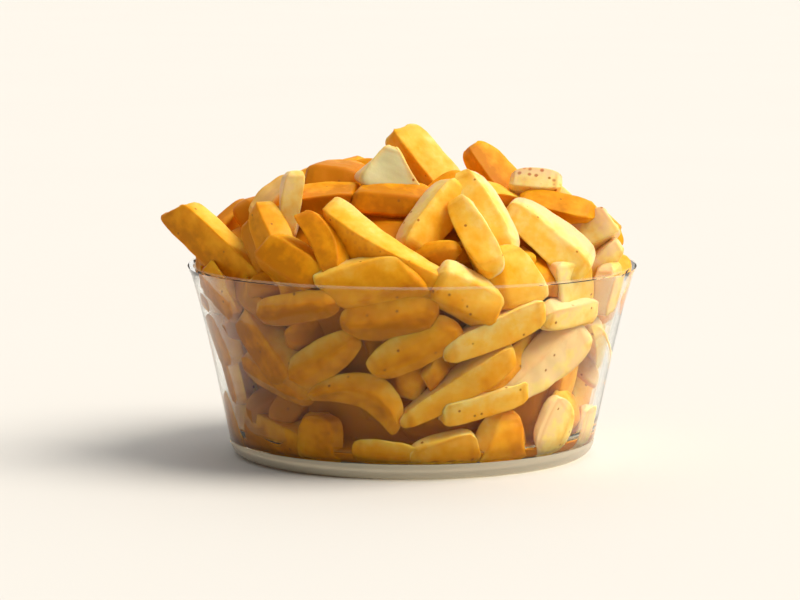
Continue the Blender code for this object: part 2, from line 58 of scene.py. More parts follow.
# %% Colour and node helpers
def linear(colour):
    """An sRGB hex colour as linear red, green, blue and 1, by the sRGB curve."""
    channels = [int(colour[i : i + 2], 16) / 255 for i in (1, 3, 5)]
    return [c / 12.92 if c <= 0.04045 else ((c + 0.055) / 1.055) ** 2.4 for c in channels] + [1.0]


def add_node(tree, kind, settings=None, **inputs):
    """A new shader node. settings are its properties; inputs are values or sockets to link from."""
    node = tree.nodes.new("ShaderNode" + kind)
    for name, value in (settings or {}).items():
        setattr(node, name, value)
    for name, value in inputs.items():
        key = int(name[1:]) if name[0] == "_" and name[1:].isdigit() else name.replace("_", " ")
        if isinstance(value, bpy.types.NodeSocket):
            tree.links.new(value, node.inputs[key])
        else:
            node.inputs[key].default_value = value
    return node


def new_material(name):
    """An empty node material and its tree."""
    material = bpy.data.materials.new(name)
    material.use_nodes = True
    material.node_tree.nodes.clear()
    return material, material.node_tree


MULTIPLY = {"operation": "MULTIPLY"}
COLOURS = {"data_type": "RGBA"}  # with these a Mix node has its share at 0 and its colours at 6 and 7
USUAL_NOISE = {"From_Min": 0.3, "From_Max": 0.7}  # nearly all of a noise's values lie in between
print("middle grey is", round(linear("#808080")[0], 3), "in linear light")

# %% [markdown]
# The camera stands a step and a half in front, a little above the rim, with a long lens. Its
# height comes from how open the rim's ellipse looks, and its distance from how much more open
# the rim looks than the base. The rim is the wider ellipse because it is nearer eye height.

# %% Camera
CAMERA_PLACE = Vector((-0.0054, -1.55, 0.256))
CAMERA_AIM = Vector((-0.0054, 0.0, 0.0686))
CAMERA_LENS = 156.6
camera = bpy.data.objects.new("camera", bpy.data.cameras.new("camera"))
camera.data.lens = CAMERA_LENS
camera.data.sensor_width = 36.0
camera.location = CAMERA_PLACE
camera.rotation_euler = (CAMERA_AIM - CAMERA_PLACE).to_track_quat("-Z", "Y").to_euler()
bpy.context.scene.collection.objects.link(camera)
bpy.context.scene.camera = camera
print("camera to bowl:", round((CAMERA_AIM - CAMERA_PLACE).length, 3), "m")

# %% [markdown]
# The bowl is pressed glass: a thick flat base, a rounded heel and a wall that leans out and
# flares a little at the rim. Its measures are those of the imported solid. A profile of its
# outside, its wall and its hollow is worked out as functions of height, which the heap uses
# too, to keep every crisp off the glass.

# %% Bowl measures
RIM_RADIUS = 100.4 * MM
RIM_HEIGHT = 86.0 * MM
HEEL_RADIUS = 82.0 * MM
HEEL_HEIGHT = 7.5 * MM
FOOT_RADIUS = 75.0 * MM
WALL_SLOPE = 0.205  # outward run of the wall for each unit of height
WALL_AT_HEEL = 3.4 * MM
WALL_AT_RIM = 2.4 * MM
FLOOR_THICK = 7.5 * MM
INNER_HEEL = 9.0 * MM  # radius of the hollow's rounded bottom corner


def outer_radius(z):
    """Radius of the bowl's outside at height z: a straight slope, with a flare near the rim."""
    rise = np.clip((z - HEEL_HEIGHT) / (RIM_HEIGHT - HEEL_HEIGHT), 0.0, 1.0)
    straight = HEEL_RADIUS + WALL_SLOPE * rise * (RIM_HEIGHT - HEEL_HEIGHT)
    flare = RIM_RADIUS - HEEL_RADIUS - WALL_SLOPE * (RIM_HEIGHT - HEEL_HEIGHT)
    return straight + flare * rise**4


def wall_thickness(z):
    """Thickness of the wall at height z: it thins evenly from the heel to the rim."""
    rise = np.clip((z - HEEL_HEIGHT) / (RIM_HEIGHT - HEEL_HEIGHT), 0.0, 1.0)
    return WALL_AT_HEEL + (WALL_AT_RIM - WALL_AT_HEEL) * rise


def inner_radius(z):
    """Radius of the hollow at height z, with its rounded bottom corner."""
    wall = outer_radius(z) - wall_thickness(z)
    drop = np.clip((FLOOR_THICK + INNER_HEEL - z) / INNER_HEEL, 0.0, 1.0)
    return wall - INNER_HEEL * (1.0 - np.sqrt(1.0 - drop * drop))


print("rim", round(2 * RIM_RADIUS / MM, 1), "mm across,", round(RIM_HEIGHT / MM, 1), "mm high")

# %% [markdown]
# Every new piece here is a closed surface on a grid: rows one way, columns round the other,
# and a pole at each end that closes it. One function lists the faces of such a grid, and one
# puts arrays into a mesh. Blender's Spin or Screw would turn a bowl as well, but they can't
# make a crisp, and one way for all keeps every face pointing outwards.

# %% Closed grids into meshes
def closed_faces(rows, columns, copies=1):
    """Quads between rows and a fan of triangles to each pole, for copies laid end to end.

    Points are numbered row by row, then the first pole and the last pole. A step to the next
    row crossed with a step to the next column points outwards.
    """
    i, j = np.meshgrid(np.arange(rows - 1), np.arange(columns), indexing="ij")
    k = (j + 1) % columns
    quads = np.stack([i * columns + j, (i + 1) * columns + j, (i + 1) * columns + k, i * columns + k], -1)
    j = np.arange(columns)
    k = (j + 1) % columns
    last = (rows - 1) * columns
    first_fan = np.stack([np.full(columns, rows * columns), j, k], -1)
    last_fan = np.stack([np.full(columns, rows * columns + 1), last + k, last + j], -1)
    fans = np.concatenate([first_fan, last_fan])
    starts = (rows * columns + 2) * np.arange(copies)
    quads = (quads.reshape(-1, 4) + starts[:, None, None]).reshape(-1, 4)
    fans = (fans + starts[:, None, None]).reshape(-1, 3)
    return quads.tolist() + fans.tolist()


def with_poles(grid):
    """A grid's values as rows of points, followed by the mean of its first and of its last row."""
    flat = grid.reshape(-1, grid.shape[-1])
    return np.concatenate([flat, grid[:1].mean(1), grid[-1:].mean(1)])


def put_mesh(name, points, faces, material, **attributes):
    """A smooth-shaded object at the origin, with its place in its points, and named attributes."""
    mesh = bpy.data.meshes.new(name)
    mesh.from_pydata(points.tolist(), [], faces)
    mesh.polygons.foreach_set("use_smooth", np.ones(len(mesh.polygons), bool))
    for label, values in attributes.items():
        vector = values.ndim == 2
        made = mesh.attributes.new(label, "FLOAT_VECTOR" if vector else "FLOAT", "POINT")
        made.data.foreach_set("vector" if vector else "value", values.astype(np.float32).ravel())
    mesh.materials.append(material)
    placed = bpy.data.objects.new(name, mesh)
    bpy.context.scene.collection.objects.link(placed)
    print(name, len(points), "points,", round(1000 * float(np.ptp(points[:, 2])), 1), "mm high")
    return placed


def turned_points(profile, columns):
    """A grid of (radius, height) rows carried round Z: x and y are radius by cosine and sine."""
    angle = np.linspace(0, 2 * np.pi, columns, endpoint=False)
    radius, height = np.array(profile)[:, :1], np.array(profile)[:, 1:]
    flat = np.stack([radius * np.cos(angle), radius * np.sin(angle), height + 0 * angle], -1)
    return with_poles(flat)


# %% [markdown]
# Soda-lime glass: clear, smooth from the mould, with the faint grey-green of iron in its thick
# base. The shader is a plain refracting one. Its index starts at the glass's own 1.5 and is then
# matched: 1.4 lets the crisps reach the bowl's outline as they do on the real one, and the
# reflections are dimmed to what shows. Real light bends through a bowl onto what it holds, but
# tracing that needs thousands of samples, so light that only casts shadow is let straight
# through, and the crisps behind the glass are lit cleanly.

# %% Glass
GLASS_TINT = "#fafcf8"
GLASS_IOR = 1.4
GLASS_SHEEN = "#909090"  # dims the reflections, not the refraction


def glass_of(name, tint, **finish):
    """A glass of this finish, which lets light that only casts shadow go straight through."""
    material, tree = new_material(name)
    body = add_node(tree, "BsdfPrincipled", Base_Color=linear(tint), IOR=GLASS_IOR, **finish)
    clear = add_node(tree, "BsdfTransparent", Color=linear(GLASS_TINT))
    path = add_node(tree, "LightPath")
    shader = add_node(
        tree, "MixShader", _0=path.outputs["Is Shadow Ray"], _1=body.outputs[0], _2=clear.outputs[0]
    )
    add_node(tree, "OutputMaterial", Surface=shader.outputs[0])
    print(name, "of colour", tint)
    return material


glass = glass_of(
    "soda_lime_glass", GLASS_TINT, Roughness=0.0, Transmission_Weight=1.0,
    Specular_Tint=linear(GLASS_SHEEN),
)

# %% [markdown]
# Light that gets into glass runs along inside it and comes out where it ends, at the lip and at
# the thick base, which is why they look paler than the wall. Tracing that light isn't practical,
# so the two are painted a little pale colour instead, painted light that stands in for it: the
# lip is a faint line and the base a soft beige grey.

# %% Lip and base
# painted light: the pale colours of the lip and the base stand in for light carried along the glass
lip_glass = glass_of("lip_painted_light", "#f6efdf", Roughness=0.2, Alpha=0.1)
base_glass = glass_of("thick_base_painted_light", "#e9e0c8", Roughness=0.25, Transmission_Weight=0.45)

# %% [markdown]
# The bowl is one profile turned round Z. The profile runs from the middle of the floor, round
# the hollow's corner, up the wall, over the lip and down the outside to the foot. Arcs and the
# two wall functions give its points, close together where it bends, because glass shows
# every flat spot in its reflections.

# %% Bowl
BOWL_COLUMNS = 192
WALL_ROWS = 24
ARC_ROWS = 12
FLAT_RINGS = np.array([0.02, 0.35, 0.7])  # rings on the floor and the foot, as shares of its radius
LIP_SHARE = 0.75  # height of the paler lip, as a share of the wall's thickness there


def bowl_profile():
    """Half section of the glass, as rows of radius and height."""
    corner = np.linspace(0, np.pi / 2, ARC_ROWS)
    z_corner = FLOOR_THICK + INNER_HEEL * (1 - np.cos(corner))
    lip_z = RIM_HEIGHT - WALL_AT_RIM / 2
    z_wall = np.linspace(FLOOR_THICK + INNER_HEEL, lip_z, WALL_ROWS)[1:-1]
    z_inside = np.concatenate([z_corner, z_wall])
    inside = np.stack([inner_radius(z_inside), z_inside], -1)
    floor = np.stack([inside[0, 0] * FLAT_RINGS, np.full(3, FLOOR_THICK)], -1)
    bend = np.linspace(0, np.pi, ARC_ROWS)
    lip_r = outer_radius(RIM_HEIGHT) - WALL_AT_RIM / 2
    lip = np.stack([lip_r - WALL_AT_RIM / 2 * np.cos(bend), lip_z + WALL_AT_RIM / 2 * np.sin(bend)], -1)
    z_outside = np.linspace(lip_z, HEEL_HEIGHT, WALL_ROWS)[1:-1]
    outside = np.stack([outer_radius(z_outside), z_outside], -1)
    turn = np.linspace(0, np.pi / 2, ARC_ROWS)
    heel_r = FOOT_RADIUS + (HEEL_RADIUS - FOOT_RADIUS) * np.cos(turn)
    heel = np.stack([heel_r, HEEL_HEIGHT * (1 - np.sin(turn))], -1)
    foot = np.stack([FOOT_RADIUS * FLAT_RINGS[::-1], np.zeros(3)], -1)
    return np.concatenate([floor, inside, lip, outside, heel, foot])


profile = bowl_profile()
bowl = put_mesh(
    "bowl", turned_points(profile, BOWL_COLUMNS), closed_faces(len(profile), BOWL_COLUMNS), glass
)
bowl.data.materials.append(lip_glass)
bowl.data.materials.append(base_glass)
face_x, face_y, face_z = np.array([p.center for p in bowl.data.polygons]).T
outside = np.hypot(face_x, face_y) > inner_radius(face_z) + 1 * MM
# faces of the lip and the base, which get the painted light
at_lip = face_z > RIM_HEIGHT - LIP_SHARE * WALL_AT_RIM
at_base = (face_z < FLOOR_THICK) & (outside | (face_z < 0.5 * FLOOR_THICK))
bowl.data.polygons.foreach_set("material_index", np.where(at_lip, 1, np.where(at_base, 2, 0)))
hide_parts("glass_bowl")
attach(bowl, "root")

# %% [markdown]
# The heap is laid the way a cook would arrange it for a picture. The crisps that face the
# front were placed one by one, and the rest follow a rule. Each row below is one crisp, in
# millimetres and degrees, as seen from the front, with its tone: tone runs from 0, pale, to 1,
# deep orange, and is partly how deeply the crisp is fried and partly painted shade and light,
# deeper for crisps in shade and to the left, paler where light falls on the right. flesh marks
# a pale cut face and dots a spotted one.

# %% How a crisp is written down
# One crisp at the front, in millimetres and degrees, as the viewpoint sees it. across and up are its
# middle on the upright plane through the axis, length and width are as seen, and turn is its rise
# to the right. It lies inset behind the heap's outline, or depth behind that plane. lean tips its
# right end forward, roll turns its outer face downwards, bend arches it outwards, sweep arches it
# upwards, taper widens its right end, slant cuts its ends slantwise, and ends says how blunt they
# are, where that isn't as usual for its cut.
Crisp = namedtuple(
    "Crisp",
    "cut across up length width thick turn inset depth lean roll bend sweep taper slant ends"
    " tone flesh dots",
    defaults=(0, None, 0, 0, 0, 0, 0, 0, None, 0.5, 0, 0),
)
# The same crisp where it lies in the heap, in metres
Laid = namedtuple(
    "Laid",
    "cut centre along face length width thick bend sweep taper twist slant sides ends above"
    " tone flesh dots",
)
# Section of each cut, as flat sides: outward direction in degrees, 90 being its outer face,
# and distance from the middle as a share of half the width or thickness
SIDES = {
    "baton": ((0, 1.0), (90, 1.0), (180, 1.0), (270, 1.0)),
    "wedge": ((55, 0.92), (125, 0.92), (222, 0.62), (318, 0.62)),
    "chunk": ((15, 1.0), (85, 0.95), (158, 0.95), (228, 0.9), (300, 0.95)),
    "slice": ((0, 1.0), (90, 1.0), (180, 1.0), (270, 1.0)),
}
ENDS = {"baton": 5.0, "wedge": 3.0, "chunk": 3.6, "slice": 2.8}  # higher is blunter
print("cuts:", ", ".join(SIDES))

# %% Crisps above the rim
# The tone of each crisp here and behind the glass is partly painted shade and light: deeper where a crisp
# lies in shade or on the left, paler where light falls on it.
FRONT_TOP = (
    Crisp("baton", -85, 90, 55, 15.5, 12.5, -41, depth=-31, lean=30, slant=0.7, ends=7, tone=0.75),
    Crisp("wedge", -75, 99.5, 24, 11, 12, -66, inset=5, tone=1),
    Crisp("wedge", -66, 99, 37, 16, 15, -68, inset=1, roll=-10, tone=0.65),
    Crisp("slice", -62, 113.5, 25, 13, 9, 41, depth=-30, lean=-10, roll=12, tone=0.65, flesh=0.35),
    Crisp("wedge", -53.5, 111, 31, 10, 12, 84, depth=-50, lean=-6, taper=0.15, tone=0),
    Crisp("chunk", -59, 87, 30, 19, 16, -30, inset=1, tone=0.85),
    Crisp("wedge", -42.5, 98.5, 29, 13, 13, -57, roll=-25, sweep=2, tone=0.7),
    Crisp("chunk", -34, 122.5, 27, 19, 17, -3, depth=-22, ends=3, tone=0.92),
    Crisp("baton", -38, 113, 27, 12, 12, 3, depth=-42, tone=0.8),
    Crisp(
        "baton", -15, 91, 60, 14, 13, -30, inset=-2, roll=50, bend=3, taper=-0.12, slant=-0.2,
        ends=5, tone=0.68, dots=0.2,
    ),
    Crisp(
        "slice", -9.5, 127, 21, 20, 10, 86, depth=-38, roll=30, taper=-0.7, ends=5, tone=0.3, flesh=1,
    ),
    Crisp("chunk", -9, 113, 34, 17, 16, -4, depth=-46, tone=0.8, dots=0.2),
    Crisp("baton", 6.5, 130.8, 38, 13.5, 12, -48, depth=-12, lean=12, roll=34, ends=4, tone=0.3),
    Crisp("baton", 10, 113.5, 36, 16, 14, 52, inset=2, roll=46, ends=3.4, tone=0.4),
    Crisp("baton", 30, 102.5, 35, 13.5, 14, -62, roll=30, taper=0.15, ends=3, tone=0.3),
    Crisp("wedge", 34, 113, 39, 16, 16, -62, inset=-2, roll=5, taper=0.1, ends=2.6, tone=0.15),
    Crisp(
        "baton", 34.8, 127, 28, 11, 12, -50, depth=-8, lean=8, roll=38, taper=0.15, ends=3.4, tone=0.78,
    ),
    Crisp("slice", 55.2, 121, 24, 9.5, 9, -3, depth=-24, lean=5, roll=42, tone=0, flesh=0.3, dots=0.8),
    Crisp("wedge", 64.5, 109.5, 36, 16, 15, -10, depth=-30, tone=0.62),
    Crisp("wedge", 67.5, 100.5, 45, 16, 15, -38, inset=-1, roll=20, taper=0.12, ends=3.4, tone=0.08),
    Crisp("baton", 81, 100, 20, 13, 12, 32, depth=-30, tone=-0.1),
    Crisp("wedge", 88.5, 98, 15, 10, 10, -65, depth=-6, tone=0.5),
    Crisp("wedge", 83.5, 86, 26, 15, 13, 45, depth=-32, tone=0.1),
)

# %% Crisps against the glass
FRONT_WALL = (
    Crisp("chunk", 51, 79, 29, 24, 15, -72, taper=0.36, ends=2.6, tone=0.34),
    Crisp("chunk", 25, 68.5, 31, 19, 15, -30, ends=5, tone=0.4),
    Crisp("chunk", -20.5, 75.5, 42, 22, 14, 12, taper=0.05, slant=-0.5, ends=5, tone=0.55),
    Crisp("wedge", -11, 60, 43, 20, 15, 10, taper=0.2, ends=2.7, tone=0.72),
    Crisp("baton", 38, 53, 47, 13, 13, 25, taper=0.15, ends=3.4, tone=0.25),
    Crisp("wedge", 1, 45, 43, 17, 14, 31, taper=0.15, ends=2.8, tone=0.6),
    Crisp("baton", 21, 27.5, 58, 11.5, 12, 33, taper=0.25, ends=3.4, tone=0.4),
    Crisp("chunk", 62, 38, 46, 21, 14, 38, taper=0.3, ends=2.7, tone=-0.15),
    Crisp("wedge", -41.5, 41, 35, 17, 14, 40, taper=-0.1, ends=3, tone=0.6),
    Crisp("wedge", -24.5, 21.5, 42, 14, 13, -22, sweep=6, taper=-0.1, tone=0.65),
    Crisp("chunk", -43.5, 8, 24, 19, 13, 86, tone=0.7),
    Crisp("wedge", -12, 4, 30, 13, 12, -10, inset=2, tone=0.6),
    Crisp("chunk", 15, 6, 30, 17, 13, 8, taper=0.2, tone=0.5),
    Crisp("chunk", 43, 9, 25, 21, 14, 85, taper=-0.2, ends=2.7, tone=0.6),
    Crisp("baton", 33, 20, 38, 12, 11, 14, inset=6, tone=0.25),
    Crisp("chunk", 64, 17, 26, 17, 13, 65, ends=2.8, tone=0),
    Crisp("chunk", 78, 19, 22, 12, 12, 78, tone=-0.1),
    Crisp("chunk", 71, 60, 24, 14, 13, 0, inset=5, tone=0.05),
    Crisp("baton", 76, 73, 24, 17, 13, 85, inset=3, tone=0.15),
    Crisp("wedge", 86, 47, 25, 11, 12, -75, tone=0),
    Crisp("wedge", -62, 32.5, 34, 16, 14, -28, taper=-0.15, tone=0.75),
    Crisp("baton", -63, 9, 27, 17, 13, -8, tone=0.8),
    Crisp("baton", -67, 46, 34, 14, 13, -52, ends=3.6, tone=0.8),
    Crisp("wedge", -87, 72, 23, 14, 12, -48, tone=0.8),
    Crisp("wedge", -53, 63.5, 36, 14, 13, 14, inset=3, tone=0.8),
    Crisp("wedge", -81, 37, 34, 13, 12, -75, inset=2, tone=0.8),
    Crisp("chunk", -79, 18, 25, 14, 12, -74, tone=0.8),
    Crisp("chunk", 89, 73, 23, 12, 12, 80, tone=0),
    Crisp("wedge", 90, 58, 19, 9, 11, -70, tone=0),
    Crisp("chunk", -58, 53, 24, 14, 13, -70, inset=11, tone=0.9),
    Crisp("chunk", -85, 50, 26, 14, 12, -68, inset=4, tone=0.85),
)
print(len(FRONT_TOP), "crisps laid by hand on top and", len(FRONT_WALL), "behind the glass")

# %% [markdown]
# The heap has an even outline: the hollow of the bowl with an oval dome on its rim. A crisp
# that was read from the front view is pushed back along the line of sight until it lies on
# that outline. A crisp could also be dropped with a rigid body simulation, but then the ones
# at the front wouldn't lie as they do on the real heap.

# %% The heap's outline
DOME_RISE = 47.0 * MM  # height of the heap's even outline above the rim, at the middle
DOME_RADIUS = 98.0 * MM
GLASS_GAP = 0.8 * MM  # least air between a crisp and the glass

# Where the places of the front crisps were read: a viewpoint in front of the bowl, and the
# upright plane through the bowl's axis that it looks at
VIEWPOINT = np.array([0.0, -1550.0, 256.0]) * MM
MOST_SLOPE_WALL = 1.8  # most that a crisp on the glass runs to the back for each unit across
MOST_SLOPE_TOP = 0.6  # the same for a crisp on the dome
LEAST_WIDTH_SEEN = 0.75  # least share of its width that a crisp is taken to show
LEAST_FACING = 0.15  # least share that the outline is taken to face the viewpoint
SIGHT_START = -130.0  # millimetres: in front of here no sight line meets the heap
HALVINGS = 40  # of the stretch in which a sight line meets the outline
UNEVEN_TURN = 7  # most degrees that a flat side of a section is turned, either way
UNEVEN_DISTANCE = (0.92, 1.06)  # its distance from the middle, as a share of what is usual
UNEVEN_SLANT = 0.25  # most that the cut of the ends is more or less slantwise
TWIST = 0.25  # most that a crisp's section turns from its middle to its end, in radians


def dome_height(r):
    """Height of the heap's even outline at radius r: half an ellipse standing on the rim."""
    return RIM_HEIGHT + DOME_RISE * np.sqrt(np.clip(1.0 - (r / DOME_RADIUS) ** 2, 0.0, 1.0))


print("the dome's top is at", round(float(dome_height(0.0)) / MM, 1), "mm")


def unit(v):
    """The vector v, shortened or lengthened to 1."""
    return v / np.linalg.norm(v)


def seen_at(across, up, depth):
    """The point at that depth which the viewpoint sees at (across, up) on the upright plane."""
    aim = np.array([across, 0.0, up]) * MM
    share = (depth * MM - VIEWPOINT[1]) / (0.0 - VIEWPOINT[1])
    return VIEWPOINT + (aim - VIEWPOINT) * share


def outline_depth(across, up):
    """Depth, in millimetres, at which the sight line to (across, up) meets the heap's outline."""
    near, far = SIGHT_START, 0.0
    for _ in range(HALVINGS):
        middle = (near + far) / 2
        p = seen_at(across, up, middle)
        r = math.hypot(p[0], p[1])
        top = float(dome_height(r)) if r < DOME_RADIUS else 0.0
        if p[2] < RIM_HEIGHT:
            outside = r > float(inner_radius(p[2])) - GLASS_GAP
        else:
            outside = p[2] > top
        if outside:
            near = middle
        else:
            far = middle
    return (near + far) / 2


def outward(p):
    """Outward direction of the heap's outline near p."""
    flat = unit(np.array([p[0], p[1], 0.0]))
    if p[2] < RIM_HEIGHT:
        return unit(flat + np.array([0.0, 0.0, -WALL_SLOPE]))
    share = np.array([1.0, 1.0, (DOME_RADIUS / DOME_RISE) ** 2])
    return unit((p - np.array([0.0, 0.0, RIM_HEIGHT])) * share)


# %% Crisps laid from the front view
def uneven(draw, cut):
    """The section's sides, each turned and moved a little, so that no two crisps match."""
    return tuple(
        (angle + draw.uniform(-UNEVEN_TURN, UNEVEN_TURN), distance * draw.uniform(*UNEVEN_DISTANCE))
        for angle, distance in SIDES[cut]
    )


def seen_share(direction):
    """Share of a unit length in this direction that shows from the front."""
    return math.hypot(direction[0], direction[2])


def turned_about(vector, axis, degrees):
    """vector turned about a unit axis."""
    angle = math.radians(degrees)
    return (
        vector * math.cos(angle)
        + np.cross(axis, vector) * math.sin(angle)
        + axis * np.dot(axis, vector) * (1.0 - math.cos(angle))
    )


def laid_from_view(item, draw):
    """Places one listed crisp along the outline, with its length and width as seen."""
    turn = math.radians(item.turn)
    seen = np.array([math.cos(turn), 0.0, math.sin(turn)])
    if item.depth is None:
        surface = seen_at(item.across, item.up, outline_depth(item.across, item.up))
        out = outward(surface)
        slope = -(seen[0] * out[0] + seen[2] * out[2]) / min(out[1], -LEAST_FACING)
        most = MOST_SLOPE_WALL if surface[2] < RIM_HEIGHT else MOST_SLOPE_TOP
        seen[1] = max(-most, min(most, slope)) - math.tan(math.radians(item.lean))
        centre = surface - out * (item.inset + item.thick / 2) * MM
    else:
        centre = seen_at(item.across, item.up, item.depth)
        out = outward(centre)
        seen[1] = -math.tan(math.radians(item.lean))
    along = unit(seen)
    face = turned_about(unit(out - along * np.dot(along, out)), along, item.roll)
    side = np.cross(face, along)
    length = item.length * MM / seen_share(along)
    width = item.width * MM / max(LEAST_WIDTH_SEEN, seen_share(side))
    return Laid(
        item.cut, centre, along, face, length, width, item.thick * MM, item.bend * MM, item.sweep * MM,
        item.taper, draw.uniform(-TWIST, TWIST), item.slant + draw.uniform(-UNEVEN_SLANT, UNEVEN_SLANT),
        uneven(draw, item.cut), item.ends or ENDS[item.cut], item in FRONT_TOP,
        item.tone, item.flesh, item.dots,
    )


# %% [markdown]
# The sides and the back follow a rule. Places are spread along a spiral, each turn a golden
# angle on from the last, which leaves no rows or rings. A seeded draw gives each crisp its
# cut, size and turn, so the heap is the same every time. Places too near a listed crisp are
# dropped.

# %% Crisps laid by the rule
STAND_OUT = 1.5 * MM  # how far a crisp laid by the rule may stand above the outline
# How high the heap's top edge is as seen from the front, across and up in millimetres
SKYLINE = (
    (-96, 100), (-90, 106), (-81, 100), (-78, 103), (-70, 114), (-58, 123), (-44, 130), (0, 140),
    (20, 127), (45, 128), (66, 122), (72, 116), (80, 112), (88, 105), (94, 99), (97, 89),
)
SEED = 41
WALL_CRISPS = 72
DOME_CRISPS = 80
RULED_CUTS = ("baton", "wedge", "wedge", "chunk")
RULED_LENGTH = (32.0, 50.0)
RULED_CHUNK_LENGTH = (24.0, 31.0)
RULED_WIDTH = (15.0, 20.0)
RULED_THICK = (12.5, 15.5)
RULED_TURN = 80  # most degrees that it rises, to either side
RULED_LEAN = (-12, 16)  # degrees that a crisp on the dome stands out at one end
RULED_ROLL = 45  # most degrees that it is rolled about its length, either way
RULED_BEND = (-1, 3.5)
RULED_TAPER = 0.3
RULED_SLANT = 0.35
RULED_ENDS = (0.85, 1.15)  # bluntness as a share of what is usual for its cut
CLEAR_OF_PLACED = 13.0 * MM  # least room between a ruled crisp's middle and a listed crisp
LENGTH_COUNTED = 0.7  # share of a listed crisp's length that this room is measured from
LAID_BY_HAND = -50.0 * MM  # in front of here every crisp is one of the listed ones
HALF_THICK = 7.0 * MM
WALL_MARGIN = (9.0 * MM, 6.0 * MM)  # from the floor to the lowest, and from the highest to the rim
DOME_MARGIN = 6.0 * MM

# Pushing neighbours apart
PUSH_ROUNDS = 60
PUSH_SHARE = 0.4  # share of a pair's want of room that one round makes good
HOME_PULL = 0.04  # share of its way back that each crisp is drawn home in one round
SNUG = 0.92  # share of a crisp's half thickness that a neighbour may not enter
ROUND_ENDS = 0.8  # how much shorter than the crisp its rod is at each end, as a share of its reach


def laid_by_rule(centre, seated, draw):
    """A crisp of drawn cut and size that lies along the outline, turned by the draw."""
    cut = draw.choice(RULED_CUTS)
    length = draw.uniform(*(RULED_CHUNK_LENGTH if cut == "chunk" else RULED_LENGTH)) * MM
    width = draw.uniform(*RULED_WIDTH) * MM
    thick = draw.uniform(*RULED_THICK) * MM
    out = outward(centre)
    level = unit(np.cross([0.0, 0.0, 1.0], out))
    rise = np.cross(out, level)
    turn = math.radians(draw.uniform(-RULED_TURN, RULED_TURN))
    slope = 0.0 if seated else math.tan(math.radians(draw.uniform(*RULED_LEAN)))
    along = unit(level * math.cos(turn) + rise * math.sin(turn) + out * slope)
    face = unit(out - along * np.dot(along, out))
    face = turned_about(face, along, 0.0 if seated else draw.uniform(-RULED_ROLL, RULED_ROLL))
    return Laid(
        cut, centre, along, face, length, width, thick, draw.uniform(*RULED_BEND) * MM, 0.0,
        draw.uniform(-RULED_TAPER, RULED_TAPER), draw.uniform(-TWIST, TWIST),
        draw.uniform(-RULED_SLANT, RULED_SLANT), uneven(draw, cut),
        ENDS[cut] * draw.uniform(*RULED_ENDS), False, 0.5, 0.0, 0.0,
    )


def wall_rows(count, lowest, highest, under):
    """Radius and height of places on the wall, evenly spread in height, this far under it."""
    heights = [lowest + (highest - lowest) * (i + 0.5) / count for i in range(count)]
    return [(float(inner_radius(z)) - under, z) for z in heights]


def spread_radii(count, reach):
    """Radii that spread this many places evenly over a disc: the square root of even shares."""
    return [reach * math.sqrt((i + 0.5) / count) for i in range(count)]


def dome_rows(count, reach, under):
    """Radius and height of places on the dome, evenly spread over its area, this far under it."""
    return [(r, float(dome_height(r)) - under) for r in spread_radii(count, reach)]


def spiral(rows):
    """Places at these radii and heights, each turned a golden angle on from the last."""
    golden = math.pi * (3.0 - math.sqrt(5.0))
    return [
        np.array([r * math.cos(golden * i), r * math.sin(golden * i), z])
        for i, (r, z) in enumerate(rows)
    ]


def spots_by_rule():
    """Evenly spread places on the wall and the dome, and whether each is on the wall."""
    lowest, highest = FLOOR_THICK + WALL_MARGIN[0], RIM_HEIGHT - WALL_MARGIN[1]
    wall = spiral(wall_rows(WALL_CRISPS, lowest, highest, HALF_THICK))
    dome = spiral(dome_rows(DOME_CRISPS, DOME_RADIUS - DOME_MARGIN, HALF_THICK))
    return [(spot, True) for spot in wall] + [(spot, False) for spot in dome]


def beside(spot, placed):
    """Distance from a spot to the nearest placed crisp's length."""
    runs = np.array([c.along * c.length * LENGTH_COUNTED for c in placed])
    starts = np.array([c.centre for c in placed]) - runs / 2
    share = np.clip(((spot - starts) * runs).sum(-1) / (runs * runs).sum(-1), 0.0, 1.0)
    apart = starts + runs * share[:, None] - spot
    return float(np.sqrt((apart * apart).sum(-1)).min())


# %% [markdown]
# Neighbours then make room for each other. Each crisp is treated as a rod with a round reach:
# where two rods come too close, the ends nearer to that place are moved apart a little, over
# and over. It is the core of a physics engine without the falling, and it settles a heap of
# this size in a second.

# %% Making room
def nearest_on_segments(a0, a1, b0, b1):
    """Shares along two sets of segments at which each pair comes closest."""
    da, db, gap = a1 - a0, b1 - b0, a0 - b0
    aa, bb = (da * da).sum(-1), (db * db).sum(-1)
    ab, ag, bg = (da * db).sum(-1), (da * gap).sum(-1), (db * gap).sum(-1)
    slant = np.maximum(aa * bb - ab * ab, 1e-14)
    s = np.clip((ab * bg - bb * ag) / slant, 0.0, 1.0)
    t = np.clip((ab * s + bg) / bb, 0.0, 1.0)
    s = np.clip((ab * t - ag) / aa, 0.0, 1.0)
    return s, t


